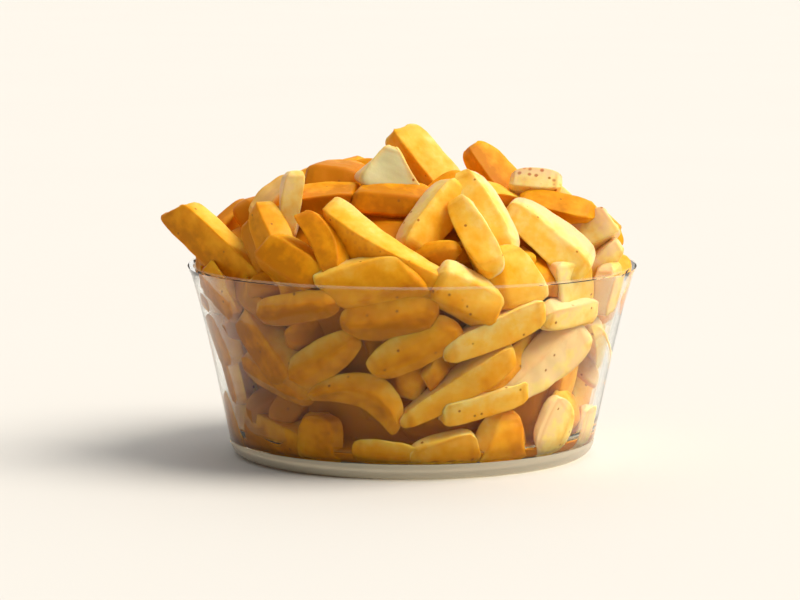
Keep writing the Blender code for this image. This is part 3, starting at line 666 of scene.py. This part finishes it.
def pushed_apart(crisps, fixed):
    """Moves the crisps that aren't fixed until neighbours no longer fill each other's room.

    Each crisp is a rod with a round reach. Where two rods come too close, the ends nearer to
    that place are moved apart. Each round is rounded to a micrometre.
    """
    reach = np.array([(c.width + c.thick) / 4 * SNUG for c in crisps])
    half = np.array([c.length / 2 for c in crisps]) - reach * ROUND_ENDS
    centre = np.array([c.centre for c in crisps])
    along = np.array([c.along for c in crisps])
    home = centre.copy()
    ends = np.stack([centre - along * half[:, None], centre + along * half[:, None]], 1)
    free = 1.0 - np.array(fixed, float)
    first, second = np.triu_indices(len(crisps), 1)
    moving = free[first] + free[second] > 0
    first, second = first[moving], second[moving]
    total = free[first] + free[second]
    for _ in range(PUSH_ROUNDS):
        s, t = nearest_on_segments(ends[first, 0], ends[first, 1], ends[second, 0], ends[second, 1])
        pa = ends[first, 0] * (1 - s)[:, None] + ends[first, 1] * s[:, None]
        pb = ends[second, 0] * (1 - t)[:, None] + ends[second, 1] * t[:, None]
        apart = pa - pb
        distance = np.maximum(np.sqrt((apart * apart).sum(-1)), 1e-6)
        short = np.clip(reach[first] + reach[second] - distance, 0.0, None)
        push = apart * (PUSH_SHARE * short / distance / total)[:, None]
        for end, share_a, share_b in ((0, 1 - s, 1 - t), (1, s, t)):
            np.add.at(ends[:, end], first, push * (share_a * free[first])[:, None])
            np.add.at(ends[:, end], second, -push * (share_b * free[second])[:, None])
        middle = ends.mean(1)
        middle += (home - middle) * HOME_PULL * free[:, None]
        axis = ends[:, 1] - ends[:, 0]
        axis /= np.sqrt((axis * axis).sum(-1))[:, None]
        middle, axis = np.round(middle, 6), np.round(axis, 6)
        ends = np.stack([middle - axis * half[:, None], middle + axis * half[:, None]], 1)
    moved = []
    for i, c in enumerate(crisps):
        face = unit(c.face - axis[i] * np.dot(c.face, axis[i]))
        moved.append(c._replace(centre=middle[i], along=unit(axis[i]), face=face))
    return moved


# %% [markdown]
# A crisp's form is a rounded polygon carried along a line. Its section comes from a few flat
# sides, blended so that the corners are rounded, and its ends are closed by a blunt curve. It
# is then bent, swept, tapered and twisted. A Bezier curve with a bevel could carry a section
# too, but it has no blunt ends and can't change its section along the way.

# %% One crisp's form
# A crisp's mesh: its rings, as angles from one end to the other of the curve that rounds its
# ends, and how far each section corner is cut, in degrees
RINGS = (32.0, 90.0, 148.0)
CORNER_CUT = 10.0
SECTION_POWER = 10.0  # how square the section's corners are


def section_radius(angles, sides):
    """Distance from the middle to a rounded polygon's edge: a power mean of its flat sides."""
    total = np.zeros_like(angles)
    for side, distance in sides:
        facing = np.clip(np.cos(angles - math.radians(side)), 0.0, None)
        total += (facing / distance) ** SECTION_POWER
    return total ** (-1.0 / SECTION_POWER)


def corner_angles(sides, cut):
    """Directions of the section's corners, or those just before and after each one if cut."""
    angles = []
    for (a, da), (b, db) in zip(sides, sides[1:] + sides[:1]):
        a, b = math.radians(a), math.radians(b)
        turn = math.sin(b - a)
        x = (da * math.sin(b) - db * math.sin(a)) / turn
        y = (db * math.cos(a) - da * math.cos(b)) / turn
        corner = math.degrees(math.atan2(y, x))
        angles += [corner - CORNER_CUT, corner + CORNER_CUT] if cut else [corner]
    return np.radians(np.array(angles))


def crisp_local(item, x, size, around, radius):
    """Points in the crisp's own frame: along it, across it and outwards.

    x is the share of the half length and size the share of the full section there. The
    section is turned by the twist, scaled by size and taper, arched by bend and sweep, and
    pushed along by the slant of the cut.
    """
    turn = around + item.twist * x
    share = size * (1.0 + item.taper * x)
    arch = 1.0 - 2.0 * x * x
    across = radius * np.cos(turn) * share * item.width / 2 + item.sweep * arch
    outwards = radius * np.sin(turn) * share * item.thick / 2 + item.bend * arch
    along = x * item.length / 2 + item.slant * across
    return np.stack([along, across, outwards], -1)


def placed_points(item, local):
    """Points of the crisp's own frame, put where the crisp lies."""
    side = np.cross(item.face, item.along)
    return item.centre + local @ np.stack([item.along, side, item.face])


def crisp_rings(item, rings=RINGS, around=None):
    """Rings of points along a crisp, the outer two at its ends."""
    if around is None:
        around = corner_angles(item.sides, item.above)
    radius = section_radius(around, item.sides)
    power = 2.0 / item.ends
    longest = math.cos(math.radians(rings[0])) ** power
    made = []
    for t in np.radians(rings):
        x = math.copysign(abs(math.cos(t)) ** power, math.cos(t)) / longest
        made.append(placed_points(item, crisp_local(item, x, math.sin(t) ** power, around, radius)))
    return made


def crisp_cloud(item):
    """Points all over a crisp, both rounded and as its flat-faced mesh, to test its room."""
    rounded = crisp_rings(item, np.arange(8, 180, 12), np.radians(np.arange(0, 360, 12)))
    rings = crisp_rings(item)
    along = [
        near + (far - near) * share
        for near, far in zip(rings, rings[1:])
        for share in (0.25, 0.5, 0.75)
    ]
    faceted = [*rings, *along]
    between = [(ring + np.roll(ring, 1, axis=0)) / 2 for ring in faceted]
    return np.vstack([*rounded, *faceted, *between])


# %% [markdown]
# With this form in hand, each crisp is tested against the glass, the heap's even outline and
# the edge that it shows from the front, and is moved until it is clear of them. A boolean or a
# shrinkwrap would cut or bend it instead, and a real crisp does neither.

# %% Clear of the glass
CLEARING_ROUNDS = 5
LIFT = 0.5 * MM  # step in which the crisp over the rim is raised


def depth_in_glass(item):
    """How far the crisp's points reach past the hollow's side, and below its floor."""
    points = crisp_cloud(item)
    low = points[points[:, 2] < RIM_HEIGHT + 2 * GLASS_GAP]
    past = -1.0
    if len(low):
        past = float((np.hypot(low[:, 0], low[:, 1]) - inner_radius(low[:, 2])).max())
    return past + GLASS_GAP, FLOOR_THICK + GLASS_GAP - float(points[:, 2].min())


def clear_of_glass(item):
    """The crisp moved inwards and up until it is inside the hollow, to the micrometre."""
    for _ in range(CLEARING_ROUNDS):
        past, below = depth_in_glass(item)
        inwards = -unit(np.array([item.centre[0], item.centre[1], 0.0])) * max(past, 0.0)
        centre = item.centre + inwards + np.array([0.0, 0.0, max(below, 0.0)])
        item = item._replace(centre=np.round(centre, 6))
    return item


def under_outline(item):
    """The crisp lowered until it stands no more than STAND_OUT above the dome or the skyline."""
    points = crisp_cloud(item)
    r = np.hypot(points[:, 0], points[:, 1])
    over = float((points[:, 2] - dome_height(r)).max()) - STAND_OUT
    share = VIEWPOINT[1] / (VIEWPOINT[1] - points[:, 1])
    seen = VIEWPOINT + (points - VIEWPOINT) * share[:, None]
    across, up = np.array(SKYLINE).T * MM
    over = max(over, float((seen[:, 2] - np.interp(seen[:, 0], across, up)).max()))
    down = np.array([0.0, 0.0, min(0.0, -over)])
    return item._replace(centre=np.round(item.centre + down, 6))


def lifted_over_rim(item):
    """The crisp raised until the rim is clear of it."""
    while depth_in_glass(item)[0] > 0:
        item = item._replace(centre=np.round(item.centre + np.array([0.0, 0.0, LIFT]), 6))
    return item


def heap():
    """Every crisp of the heap, in place."""
    draw = random.Random(SEED)
    placed = [laid_from_view(item, draw) for item in FRONT_TOP + FRONT_WALL]
    ruled = [laid_by_rule(spot, seated, draw) for spot, seated in spots_by_rule()]
    ruled = [c for c in ruled if c.centre[1] > LAID_BY_HAND]
    ruled = [c for c in ruled if beside(c.centre, placed) > CLEAR_OF_PLACED]
    crisps = pushed_apart(placed + ruled, [True] * len(placed) + [False] * len(ruled))
    placed, ruled = crisps[: len(placed)], crisps[len(placed) :]
    over_rim, *inside = placed + [under_outline(c) for c in ruled]
    return [lifted_over_rim(over_rim)] + [clear_of_glass(c) for c in inside]


outer_crisps = heap()
print(len(outer_crisps), "crisps on the outside of the heap")

# %% [markdown]
# Between the outer crisps, a real heap shows more crisps in its gaps, darker because less light
# gets in. A second layer is laid under the first by the same rule, and a flat layer rests on
# the floor of the bowl, where the thick base lets it be seen from below. These get a crust with
# painted shade, deeper than the outer crisps'. The outer crisps stay where they are while these
# make room.

# %% Crisps beneath
SEED_BENEATH = 7
BENEATH_DEPTH = 13.0 * MM  # how far they lie under the outer ones, on the dome and at the wall
WALL_BENEATH_DEPTH = 7.0 * MM
WALL_BENEATH = 76
DOME_BENEATH = 44
FLOOR_BENEATH = 26
LOW_MARGIN = 15.0 * MM  # from the floor to the lowest one on the wall
FOOT_MARGIN = 12.0 * MM  # from the foot's edge to the outermost one on the floor


def spots_beneath():
    """Places under the outer crisps: on the wall, on the dome and on the floor of the bowl."""
    under_wall = HALF_THICK + WALL_BENEATH_DEPTH
    wall = wall_rows(WALL_BENEATH, FLOOR_THICK + LOW_MARGIN, RIM_HEIGHT, under_wall)
    dome = dome_rows(DOME_BENEATH, DOME_RADIUS - BENEATH_DEPTH, HALF_THICK + BENEATH_DEPTH)
    height = FLOOR_THICK + HALF_THICK + GLASS_GAP
    flat = [(r, height) for r in spread_radii(FLOOR_BENEATH, FOOT_RADIUS - FOOT_MARGIN)]
    return spiral(wall) + spiral(dome) + spiral(flat)


def heap_beneath():
    """The crisps under the outer ones, in place."""
    draw = random.Random(SEED_BENEATH)
    laid = [laid_by_rule(spot, True, draw) for spot in spots_beneath()]
    fixed = [True] * len(outer_crisps) + [False] * len(laid)
    moved = pushed_apart(outer_crisps + laid, fixed)[len(outer_crisps) :]
    return [clear_of_glass(c) for c in moved]


inner_crisps = heap_beneath()
print(len(inner_crisps), "crisps beneath them")

# %% [markdown]
# Crisps that lean on the glass are pressed flat against it by the heap's weight, so that no air
# shows between the two, and a pressed crisp looks larger and softer through the wall. Each crisp
# near the glass is moved outwards until it would stand well into the wall. Its points are then
# held back to just under the glass's inner surface, which is the flat patch that touches.

# %% Pressed against the glass
PRESSED = 2.2 * MM  # how far a crisp would stand into the glass if it weren't flattened
PRESSED_LOW = 4.5 * MM  # the same for the lowest crisps, which bear the most weight
INTO_GLASS = 1.1 * MM  # how far the flat patch lies in the wall, so that no air is left
EASE = 0.25 * MM  # width of the smooth turn into the flat patch
NEAR_GLASS = 6.0 * MM  # crisps nearer than this are pressed against it
UNDER_RIM = 4.0 * MM  # how far below the rim a crisp's middle must be for that
FRONT_GAPS = -35.0 * MM  # in front of here the crisps beneath stay back, in the shade


def soft_excess(x):
    """x where it is well above 0, and 0 where it is well below, with a smooth turn between."""
    return EASE * np.logaddexp(0.0, x / EASE)


def pressed_to_glass(item):
    """The crisp moved towards the wall and the floor if it lies near them."""
    past, below = depth_in_glass(item)
    out = unit(np.array([item.centre[0], item.centre[1], 0.0]))
    under_rim = item.centre[2] < RIM_HEIGHT - UNDER_RIM
    lowest = below > -NEAR_GLASS
    centre = item.centre
    if lowest:
        centre = centre - np.array([0.0, 0.0, PRESSED_LOW - below + GLASS_GAP])
    if past > -NEAR_GLASS and under_rim:
        centre = centre + out * ((PRESSED_LOW if lowest else PRESSED) - past + GLASS_GAP)
    return item._replace(centre=centre)


def held_back(points, into):
    """Points eased to no further than into under the glass's inner wall and floor."""
    x, y, z = points.T
    r = np.maximum(np.hypot(x, y), 1e-9)
    z = z + soft_excess(FLOOR_THICK - into - z)
    share = 1.0 - soft_excess(r - inner_radius(z) - into) / r
    return np.stack([x * share, y * share, z], -1)


over_rim, *inside = outer_crisps
touching = sum(depth_in_glass(c)[0] > -NEAR_GLASS for c in inside)
print(touching, "of the outer crisps are pressed to the wall")
outer_crisps = [over_rim] + [pressed_to_glass(c) for c in inside]
inner_crisps = [pressed_to_glass(c) if c.centre[1] > FRONT_GAPS else c for c in inner_crisps]

# %% [markdown]
# Now each crisp gets its fine surface. The grid's rows are spread evenly along its length and
# its columns close up at the corners of its section, so that cut edges stay crisp. Frying
# dries a potato unevenly: the flat faces sink a little and the edges stand proud. That and
# a slight waviness are real relief in the mesh, not only in the material.

# %% A crisp's fine surface
SINK = 0.35 * MM  # how far a flat face sinks between its edges
WAVE = 0.35 * MM  # height of the slow waves, and below of the quick ripples
WAVE_LENGTH = 13.0 * MM
RIPPLE = 0.1 * MM
RIPPLE_LENGTH = 4.0 * MM
WAVE_COUNT = 12
WAVE_GAIN = 1.8  # brings the mean of so many waves back to about -1 to 1
CORNER_ROOM = 1.5  # how many more columns a corner gets than a flat side, for the same length
# Painted shade and light on every crisp: its tone is made deeper on the sides turned from the light and
# paler on those turned to it.
PAINTED_SHADE = 0.3  # painted shade and light: how much deeper than the middle tone a crisp's lower and outer side is painted, and paler its upper and inner side
PAINTED_LIGHT_TURN = np.radians(45)


def waves(points, length, rng):
    """Smooth unevenness within about -1 to 1: plane waves in drawn directions, added up."""
    direction = rng.normal(size=(3, WAVE_COUNT))
    direction *= rng.uniform(0.6, 1.4, WAVE_COUNT) / np.linalg.norm(direction, axis=0)
    phase = rng.uniform(0, 2 * np.pi, WAVE_COUNT)
    return np.sin(points @ direction * (2 * np.pi / length) + phase).mean(-1) * WAVE_GAIN


def outward_of(grid):
    """Unit outward directions of a grid: its step along crossed with its step round."""
    along = np.gradient(grid, axis=0)
    around = np.roll(grid, -1, axis=1) - np.roll(grid, 1, axis=1)
    normal = np.cross(along, around)
    return normal / np.maximum(np.linalg.norm(normal, axis=-1, keepdims=True), 1e-12)


def nearness(low, high):
    """How near two measures are to each other: 0 below four fifths, rising smoothly to 1."""
    share = np.clip((low / np.maximum(high, 1e-9) - 0.8) / 0.2, 0, 1)
    return share * share * (3 - 2 * share)


def section_columns(sides, columns):
    """Angles round a section, closer at its corners, with the radius and nearness to a corner."""
    angle = np.radians(np.arange(0, 361, 1.5))
    facing = np.stack([np.clip(np.cos(angle - math.radians(s)), 0, None) / d for s, d in sides])
    facing.sort(axis=0)
    corner = nearness(facing[-2], facing[-1])
    radius = section_radius(angle, sides)
    x, y = radius * np.cos(angle), radius * np.sin(angle)
    step = np.hypot(np.diff(x), np.diff(y)) * (1 + CORNER_ROOM * corner[1:])
    travelled = np.concatenate([[0], np.cumsum(step)])
    wanted = np.linspace(0, travelled[-1], columns, endpoint=False)
    picked = np.interp(wanted, travelled, angle)
    return picked, section_radius(picked, sides), np.interp(picked, angle, corner)


def lengthwise_rows(item, rows):
    """Shares of the half length and of the full section, evenly spread along the surface.

    The ends follow a blunt curve: the share along and the share of the section, each raised to
    the crisp's own power, add up to 1.
    """
    angle = np.linspace(0, np.pi, 600)
    power = 2.0 / item.ends
    x = np.sign(np.cos(angle)) * np.abs(np.cos(angle)) ** power
    size = np.sin(angle) ** power
    step = np.hypot(np.diff(x) * item.length, np.diff(size) * item.thick)
    travelled = np.concatenate([[0], np.cumsum(step)])
    wanted = np.linspace(0, travelled[-1], rows + 2)[1:-1]
    return np.interp(wanted, travelled, x), np.interp(wanted, travelled, size)


def crisp_surface(item, rows, columns, rng):
    """Points of a crisp's fine surface with what its finish needs at each of them."""
    x, size = (v[:, None] for v in lengthwise_rows(item, rows))
    around, radius, corner = section_columns(item.sides, columns)
    local = crisp_local(item, x, size, around, radius)
    low, high = np.minimum(np.abs(x), size), np.maximum(np.abs(x), size)
    edge = np.maximum(corner * (size > 0.5), nearness(low, high))
    relief = WAVE * waves(local, WAVE_LENGTH, rng) + RIPPLE * waves(local, RIPPLE_LENGTH, rng)
    relief = relief - SINK * (1 - edge) ** 2
    local = local + outward_of(local) * relief[..., None]
    outer_face = np.clip(np.sin(around + item.twist * x) * 3 - 1.5, 0, 1) * size
    # painted shade and light: deeper on the lower and outer side, paler on the upper side
    tone = item.tone - PAINTED_SHADE * np.cos(around + PAINTED_LIGHT_TURN) + 0 * x
    looks = np.stack([tone, edge, item.flesh * outer_face, item.dots * outer_face], -1)
    grain = local + rng.uniform(-1, 1, 3)
    points = with_poles(placed_points(item, local))
    if item is not outer_crisps[0]:
        points = held_back(points, INTO_GLASS * rng.uniform(0.6, 1.0))
    return points, with_poles(grain), with_poles(looks)


# %% [markdown]
# A fried crisp is a thin dry crust over moist pale flesh. Light goes a few millimetres into it
# and comes out warmer, which gives shaded faces their deep orange. So the shader lets light
# scatter below the surface, red furthest. Its colour is drawn from pale to deep gold by tone,
# which carries painted shade and light as well as how deeply it is fried, and by a patchiness
# of a few millimetres, a little browner along the edges, where it fries first. Tiny brown
# specks are where sugar caught. The surface shines softly with oil.

# %% Fried potato
PATCH_MM = 7.0
SPECK_MM = 3.2
DOT_MM = 2.6
GRAIN_MM = 0.9
BLISTER_MM = 2.4
PATCH_TONE = 0.14  # how far the patches shift the tone, to either side
SPECK_SIZE = 0.13  # radius as a share of the spacing
SPECK_RARITY = 0.94  # share of the places that stay empty
DOT_SIZE = 0.22
DOT_RARITY = 0.6
OILY = (0.42, 0.56)  # roughness: a soft shine of oil
CRUST = (
    ("#f4cf98", 0.0), ("#fbdc88", 0.14), ("#fac650", 0.35), ("#f4ab1e", 0.62), ("#e3930c", 0.85),
    ("#c87c0a", 1.0),
)
EDGE_BROWN = "#c9781a"
EDGE_SHARE = 0.45  # most of the edge's own brown in its colour
FLESH = "#d9d2a2"
SPECK = "#ad6a20"
DOT = "#b4552a"
print("specks", SPECK_MM, "mm apart, patches", PATCH_MM, "mm")

# %% [markdown]
# Specks and dots could be painted by hand on a texture. Here a Voronoi texture splits the
# crisp into cells, and a small disc is kept in the middle of a few of them, picked by the
# cell's own random colour, so every crisp gets its own without any image.

# %% Scattered spots
def spots(tree, grain, spacing_mm, radius, rarity):
    """1 inside scattered round spots, 0 outside: small discs at the middles of some Voronoi cells."""
    cells = add_node(tree, "TexVoronoi", Vector=grain, Scale=1 / (spacing_mm * MM))
    disc = add_node(
        tree, "MapRange", Value=cells.outputs["Distance"], From_Min=radius, From_Max=radius * 2,
        To_Min=1.0, To_Max=0.0,
    ).outputs["Result"]
    chance = add_node(tree, "SeparateColor", Color=cells.outputs["Color"]).outputs[0]
    kept = add_node(tree, "Math", {"operation": "GREATER_THAN"}, _0=chance, _1=rarity).outputs[0]
    return add_node(tree, "Math", MULTIPLY, _0=disc, _1=kept).outputs[0]


# %% [markdown]
# The colour is built up as the crust is: first the tone, how deeply it is fried together with
# the painted shade and light that it carries, then the edges, then what lies bare, and last what
# sits on top. Each layer is mixed over the one before.

# %% The crust's colour
def crust_colour(tree, grain, patch, darker):
    """Pale to deep gold by tone, painted shade and light included, and patches, then browned edges, bare
    flesh, specks and dots.
    """
    tone, edge, flesh, dots = (
        add_node(tree, "Attribute", {"attribute_name": label}).outputs["Fac"]
        for label in ("tone", "edge", "flesh", "dots")
    )
    shift = add_node(
        tree, "MapRange", Value=patch, **USUAL_NOISE, To_Min=darker - PATCH_TONE,
        To_Max=darker + PATCH_TONE,
    ).outputs["Result"]
    # The tone carries painted shade and light as well as how deeply the crisp is fried.
    fried = add_node(tree, "Math", {"operation": "ADD", "use_clamp": True}, _0=tone, _1=shift)
    ramp = add_node(tree, "ValToRGB", Fac=fried.outputs[0])
    stops = ramp.color_ramp.elements
    while len(stops) < len(CRUST):
        stops.new(1.0)
    for stop, (tint, place) in zip(stops, CRUST):
        stop.position = place
        stop.color = linear(tint)
    colour = ramp.outputs["Color"]
    patchy_edge = add_node(tree, "Math", MULTIPLY, _0=edge, _1=patch).outputs[0]
    browned = add_node(tree, "Math", MULTIPLY, _0=patchy_edge, _1=EDGE_SHARE).outputs[0]
    specks = spots(tree, grain, SPECK_MM, SPECK_SIZE, SPECK_RARITY)
    spotted = spots(tree, grain, DOT_MM, DOT_SIZE, DOT_RARITY)
    dotted = add_node(tree, "Math", MULTIPLY, _0=spotted, _1=dots).outputs[0]
    layers = ((browned, EDGE_BROWN), (flesh, FLESH), (specks, SPECK), (dotted, DOT))
    for share, tint in layers:
        colour = add_node(tree, "Mix", COLOURS, _0=share, _6=colour, _7=linear(tint)).outputs[2]
    return colour


# %% [markdown]
# Two bumps give the dried skin: blisters of a few millimetres and a grain finer than one. They
# are too shallow to be worth a mesh. The shine is weak, because the oil soaks into the crust.

# %% The crust's surface
BLISTER_DEPTH = 0.25 * MM
GRAIN_DEPTH = 0.12 * MM
GLOW_DEPTH = 4.0 * MM  # how far light spreads under the crust
GLOW = (1.0, 0.45, 0.1)  # share of that for red, green and blue


def potato(name, darker=0.0):
    """Fried potato crust; darker adds to the tone, as painted shade for what lies deep in the heap."""
    material, tree = new_material(name)
    grain = add_node(tree, "Attribute", {"attribute_name": "grain"}).outputs["Vector"]
    patch = add_node(
        tree, "TexNoise", Vector=grain, Scale=1 / (PATCH_MM * MM), Detail=3.0, Roughness=0.55
    ).outputs["Fac"]
    roughness = add_node(
        tree, "MapRange", Value=patch, **USUAL_NOISE, To_Min=OILY[0], To_Max=OILY[1]
    ).outputs["Result"]
    blister = add_node(
        tree, "TexVoronoi", {"feature": "SMOOTH_F1"}, Vector=grain, Scale=1 / (BLISTER_MM * MM)
    ).outputs["Distance"]
    fine = add_node(tree, "TexNoise", Vector=grain, Scale=1 / (GRAIN_MM * MM), Detail=2.0).outputs["Fac"]
    bump = add_node(tree, "Bump", Height=blister, Strength=0.35, Distance=BLISTER_DEPTH)
    bump = add_node(
        tree, "Bump", Height=fine, Strength=0.3, Distance=GRAIN_DEPTH, Normal=bump.outputs[0]
    )
    crust_shader = add_node(
        tree, "BsdfPrincipled", Base_Color=crust_colour(tree, grain, patch, darker),
        Roughness=roughness, IOR=1.45, Normal=bump.outputs[0], Subsurface_Weight=0.45,
        Subsurface_Radius=GLOW, Subsurface_Scale=GLOW_DEPTH, Specular_IOR_Level=0.12,
    )
    add_node(tree, "OutputMaterial", Surface=crust_shader.outputs[0])
    print(name, "with", len(tree.nodes), "nodes")
    return material


crust = potato("fried_potato_crust", darker=-0.07)
# The same crust painted deeper: painted shade for the crisps inside the heap and for its core.
shaded_crust = potato("fried_potato_painted_shade", darker=0.3)

# %% [markdown]
# Crisps of one cut are joined into one piece, which keeps the scene light and still lets each
# crisp have its own shade. The ones at the front get the finest grid. Instances would be
# lighter yet, but each crisp here has its own shape.

# %% Crisps joined by cut
FRONT_GRID = (44, 44)
RULED_GRID = (32, 32)
BENEATH_GRID = (22, 24)
SEED_SURFACE = 11
TONE_RANGE = (0.3, 0.7)  # for the crisps that aren't listed
PAINTED_LIGHT_ACROSS = 0.3  # painted light and shade: how much paler than the middle the right side is made, where light falls, and deeper the left, in shade


def joined(name, groups, material, rng):
    """One object from (crisps, grid) groups: their points stacked and their faces renumbered."""
    points, grains, looks, faces, start = [], [], [], [], 0
    for crisps, (rows, columns) in groups:
        for item in crisps:
            p, g, l = crisp_surface(item, rows, columns, rng)
            points.append(p)
            grains.append(g)
            looks.append(l)
        each = closed_faces(rows, columns, len(crisps))
        faces += [[v + start for v in face] for face in each]
        start += len(crisps) * (rows * columns + 2)
    tone, edge, flesh, dots = np.concatenate(looks).T
    return put_mesh(
        name, np.concatenate(points), faces, material, grain=np.concatenate(grains),
        tone=tone, edge=edge, flesh=flesh, dots=dots,
    )


def with_drawn_tone_and_painted_light(item, rng):
    """The crisp with a drawn tone, plus painted light and shade: paler to the right of the heap and
    deeper to the left.
    """
    return item._replace(tone=rng.uniform(*TONE_RANGE) - PAINTED_LIGHT_ACROSS * item.centre[0] / RIM_RADIUS)


rng = np.random.default_rng(SEED_SURFACE)
hand_laid = len(FRONT_TOP) + len(FRONT_WALL)
front = outer_crisps[:hand_laid]
ruled = [with_drawn_tone_and_painted_light(c, rng) for c in outer_crisps[hand_laid:]]
beneath = [with_drawn_tone_and_painted_light(c, rng) for c in inner_crisps]
pieces = []
for cut in SIDES:
    groups = (
        ([c for c in front if c.cut == cut], FRONT_GRID),
        ([c for c in ruled if c.cut == cut], RULED_GRID),
    )
    pieces.append(joined(f"crisps_{cut}", groups, crust, rng))
pieces.append(joined("crisps_beneath", ((beneath, BENEATH_GRID),), shaded_crust, rng))

# %% [markdown]
# The middle of the heap is never seen, but a core closes it, so that no light comes through
# from behind. It is a turned form under the second layer, made lumpy by a few waves, and
# painted a dark amber: painted shade, for the depths of such a heap, where little light gets in.

# %% Core of the heap
CORE_UNDER = 13.0 * MM  # depth under the heap's even outline
BED_HEIGHT = 4.0 * MM  # height of the bed of small pieces that fills the bowl's bottom corner
CORE_BELOW_RIM = 8.0 * MM  # how far under the rim the core's dome begins
CORE_LUMPS = 2.5 * MM
CORE_LUMP_LENGTH = 18.0 * MM
LUMPS_FROM = 6.0 * MM  # height above the bed at which the lumps have their full size
# painted shade: the core's deep tone stands for the dark depths of the heap
CORE_SHADE_TONE = 0.8
CORE_COLUMNS = 72


def core_profile():
    """Half section of the core, from its top over the dome and down the wall to its foot."""
    angle = np.linspace(0.02, np.pi / 2, 20)
    dome_r = (DOME_RADIUS - CORE_UNDER) * np.sin(angle)
    dome_z = RIM_HEIGHT - CORE_BELOW_RIM + (DOME_RISE - CORE_UNDER + CORE_BELOW_RIM) * np.cos(angle)
    wall_z = np.linspace(RIM_HEIGHT - CORE_BELOW_RIM - 2 * MM, FLOOR_THICK + BED_HEIGHT + 4 * MM, 14)
    wall_r = inner_radius(wall_z) - CORE_UNDER
    bed_z = FLOOR_THICK + BED_HEIGHT * np.linspace(1, 0, 10) ** 1.5
    bed_r = inner_radius(bed_z) + INTO_GLASS / 2
    foot_r = np.linspace(bed_r[-1] - 1 * MM, 1 * MM, 10)
    foot = np.stack([foot_r, np.full(10, FLOOR_THICK - INTO_GLASS / 2)], -1)
    parts = ((dome_r, dome_z), (wall_r, wall_z), (bed_r, bed_z))
    return np.concatenate([*(np.stack(part, -1) for part in parts), foot])


profile = core_profile()
core_points = turned_points(profile, CORE_COLUMNS)
lump = CORE_LUMPS * waves(core_points, CORE_LUMP_LENGTH, rng)
middle = np.array([0.0, 0.0, RIM_HEIGHT / 2])
outwards = core_points - middle
outwards /= np.linalg.norm(outwards, axis=1, keepdims=True)
still_low = np.clip((core_points[:, 2] - FLOOR_THICK - BED_HEIGHT) / LUMPS_FROM, 0, 1)
core_points = core_points + outwards * (lump * still_low)[:, None]
still = np.full(len(core_points), 0.0)
core = put_mesh(
    "heap_core", core_points, closed_faces(len(profile), CORE_COLUMNS), shaded_crust,
    grain=core_points, tone=still + CORE_SHADE_TONE, edge=still, flesh=still, dots=still,
)
pieces.append(core)

for piece in pieces:
    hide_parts("crisps")
    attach(piece, "root")
print(sum(len(p.data.polygons) for p in pieces), "faces in the heap")

# %% [markdown]
# The bowl stands on a plain pale floor, matt as painted board, wide enough to fill the view.
# A faint unevenness keeps it from looking like a flat colour.

# %% Floor
FLOOR_SIDE = 24.0
floor_paint, tree = new_material("matt_floor_paint")
where = add_node(tree, "TexCoord").outputs["Object"]
uneven_paint = add_node(tree, "TexNoise", Vector=where, Scale=3.0, Detail=2.0).outputs["Fac"]
tints = {"_6": linear("#d8d8d7"), "_7": linear("#dadad9")}
paint = add_node(tree, "Mix", COLOURS, _0=uneven_paint, **tints).outputs[2]
matt = add_node(tree, "BsdfPrincipled", Base_Color=paint, Roughness=0.8, Specular_IOR_Level=0.2)
add_node(tree, "OutputMaterial", Surface=matt.outputs[0])
half = FLOOR_SIDE / 2
corners = np.array([[-half, -half, 0], [half, -half, 0], [half, half, 0], [-half, half, 0]])
floor = put_mesh("floor", corners, [[0, 1, 2, 3]], floor_paint)

# %% [markdown]
# Plain soft studio light comes from the upper right, and the rest of the room is dim. A broad
# soft sun stands for the studio's softbox: it lights the floor evenly, which a lamp nearby
# wouldn't. The room is the background light. Its strength rises smoothly towards the back and
# the right, so the glass is bright at its outline and its front reflects little.

# %% Light
SUN_FROM = Vector((0.6, -0.1, 0.79))
SUN_STRENGTH = 3.25
SUN_SPREAD = 40.0
BRIGHT_SIDE = Vector((0.6, 0.6, 0.45))
ROOM_DIM = 0.28
ROOM_BRIGHT = 1.0

sun = bpy.data.lights.new("softbox", "SUN")
sun.energy = SUN_STRENGTH
sun.angle = math.radians(SUN_SPREAD)
sun.color = linear("#fff4e4")[:3]
holder = bpy.data.objects.new("softbox", sun)
holder.rotation_euler = SUN_FROM.to_track_quat("Z", "Y").to_euler()
bpy.context.scene.collection.objects.link(holder)

room = bpy.data.worlds.new("room")
room.use_nodes = True
tree = room.node_tree
tree.nodes.clear()
direction = add_node(tree, "TexCoord").outputs["Generated"]
to_bright_side = add_node(
    tree, "VectorMath", {"operation": "DOT_PRODUCT"}, _0=direction, _1=BRIGHT_SIDE
).outputs["Value"]
strength = add_node(
    tree, "MapRange", {"interpolation_type": "SMOOTHSTEP"}, Value=to_bright_side,
    From_Min=-0.2, From_Max=0.9, To_Min=ROOM_DIM, To_Max=ROOM_BRIGHT,
).outputs["Result"]
sky = add_node(tree, "Background", Color=linear("#fffdf8"), Strength=strength)
add_node(tree, "OutputWorld", Surface=sky.outputs[0])
bpy.context.scene.world = room
bpy.context.scene.view_settings.view_transform = "Standard"
print("sun at", round(math.degrees(math.asin(SUN_FROM.normalized().z))), "degrees above the floor")
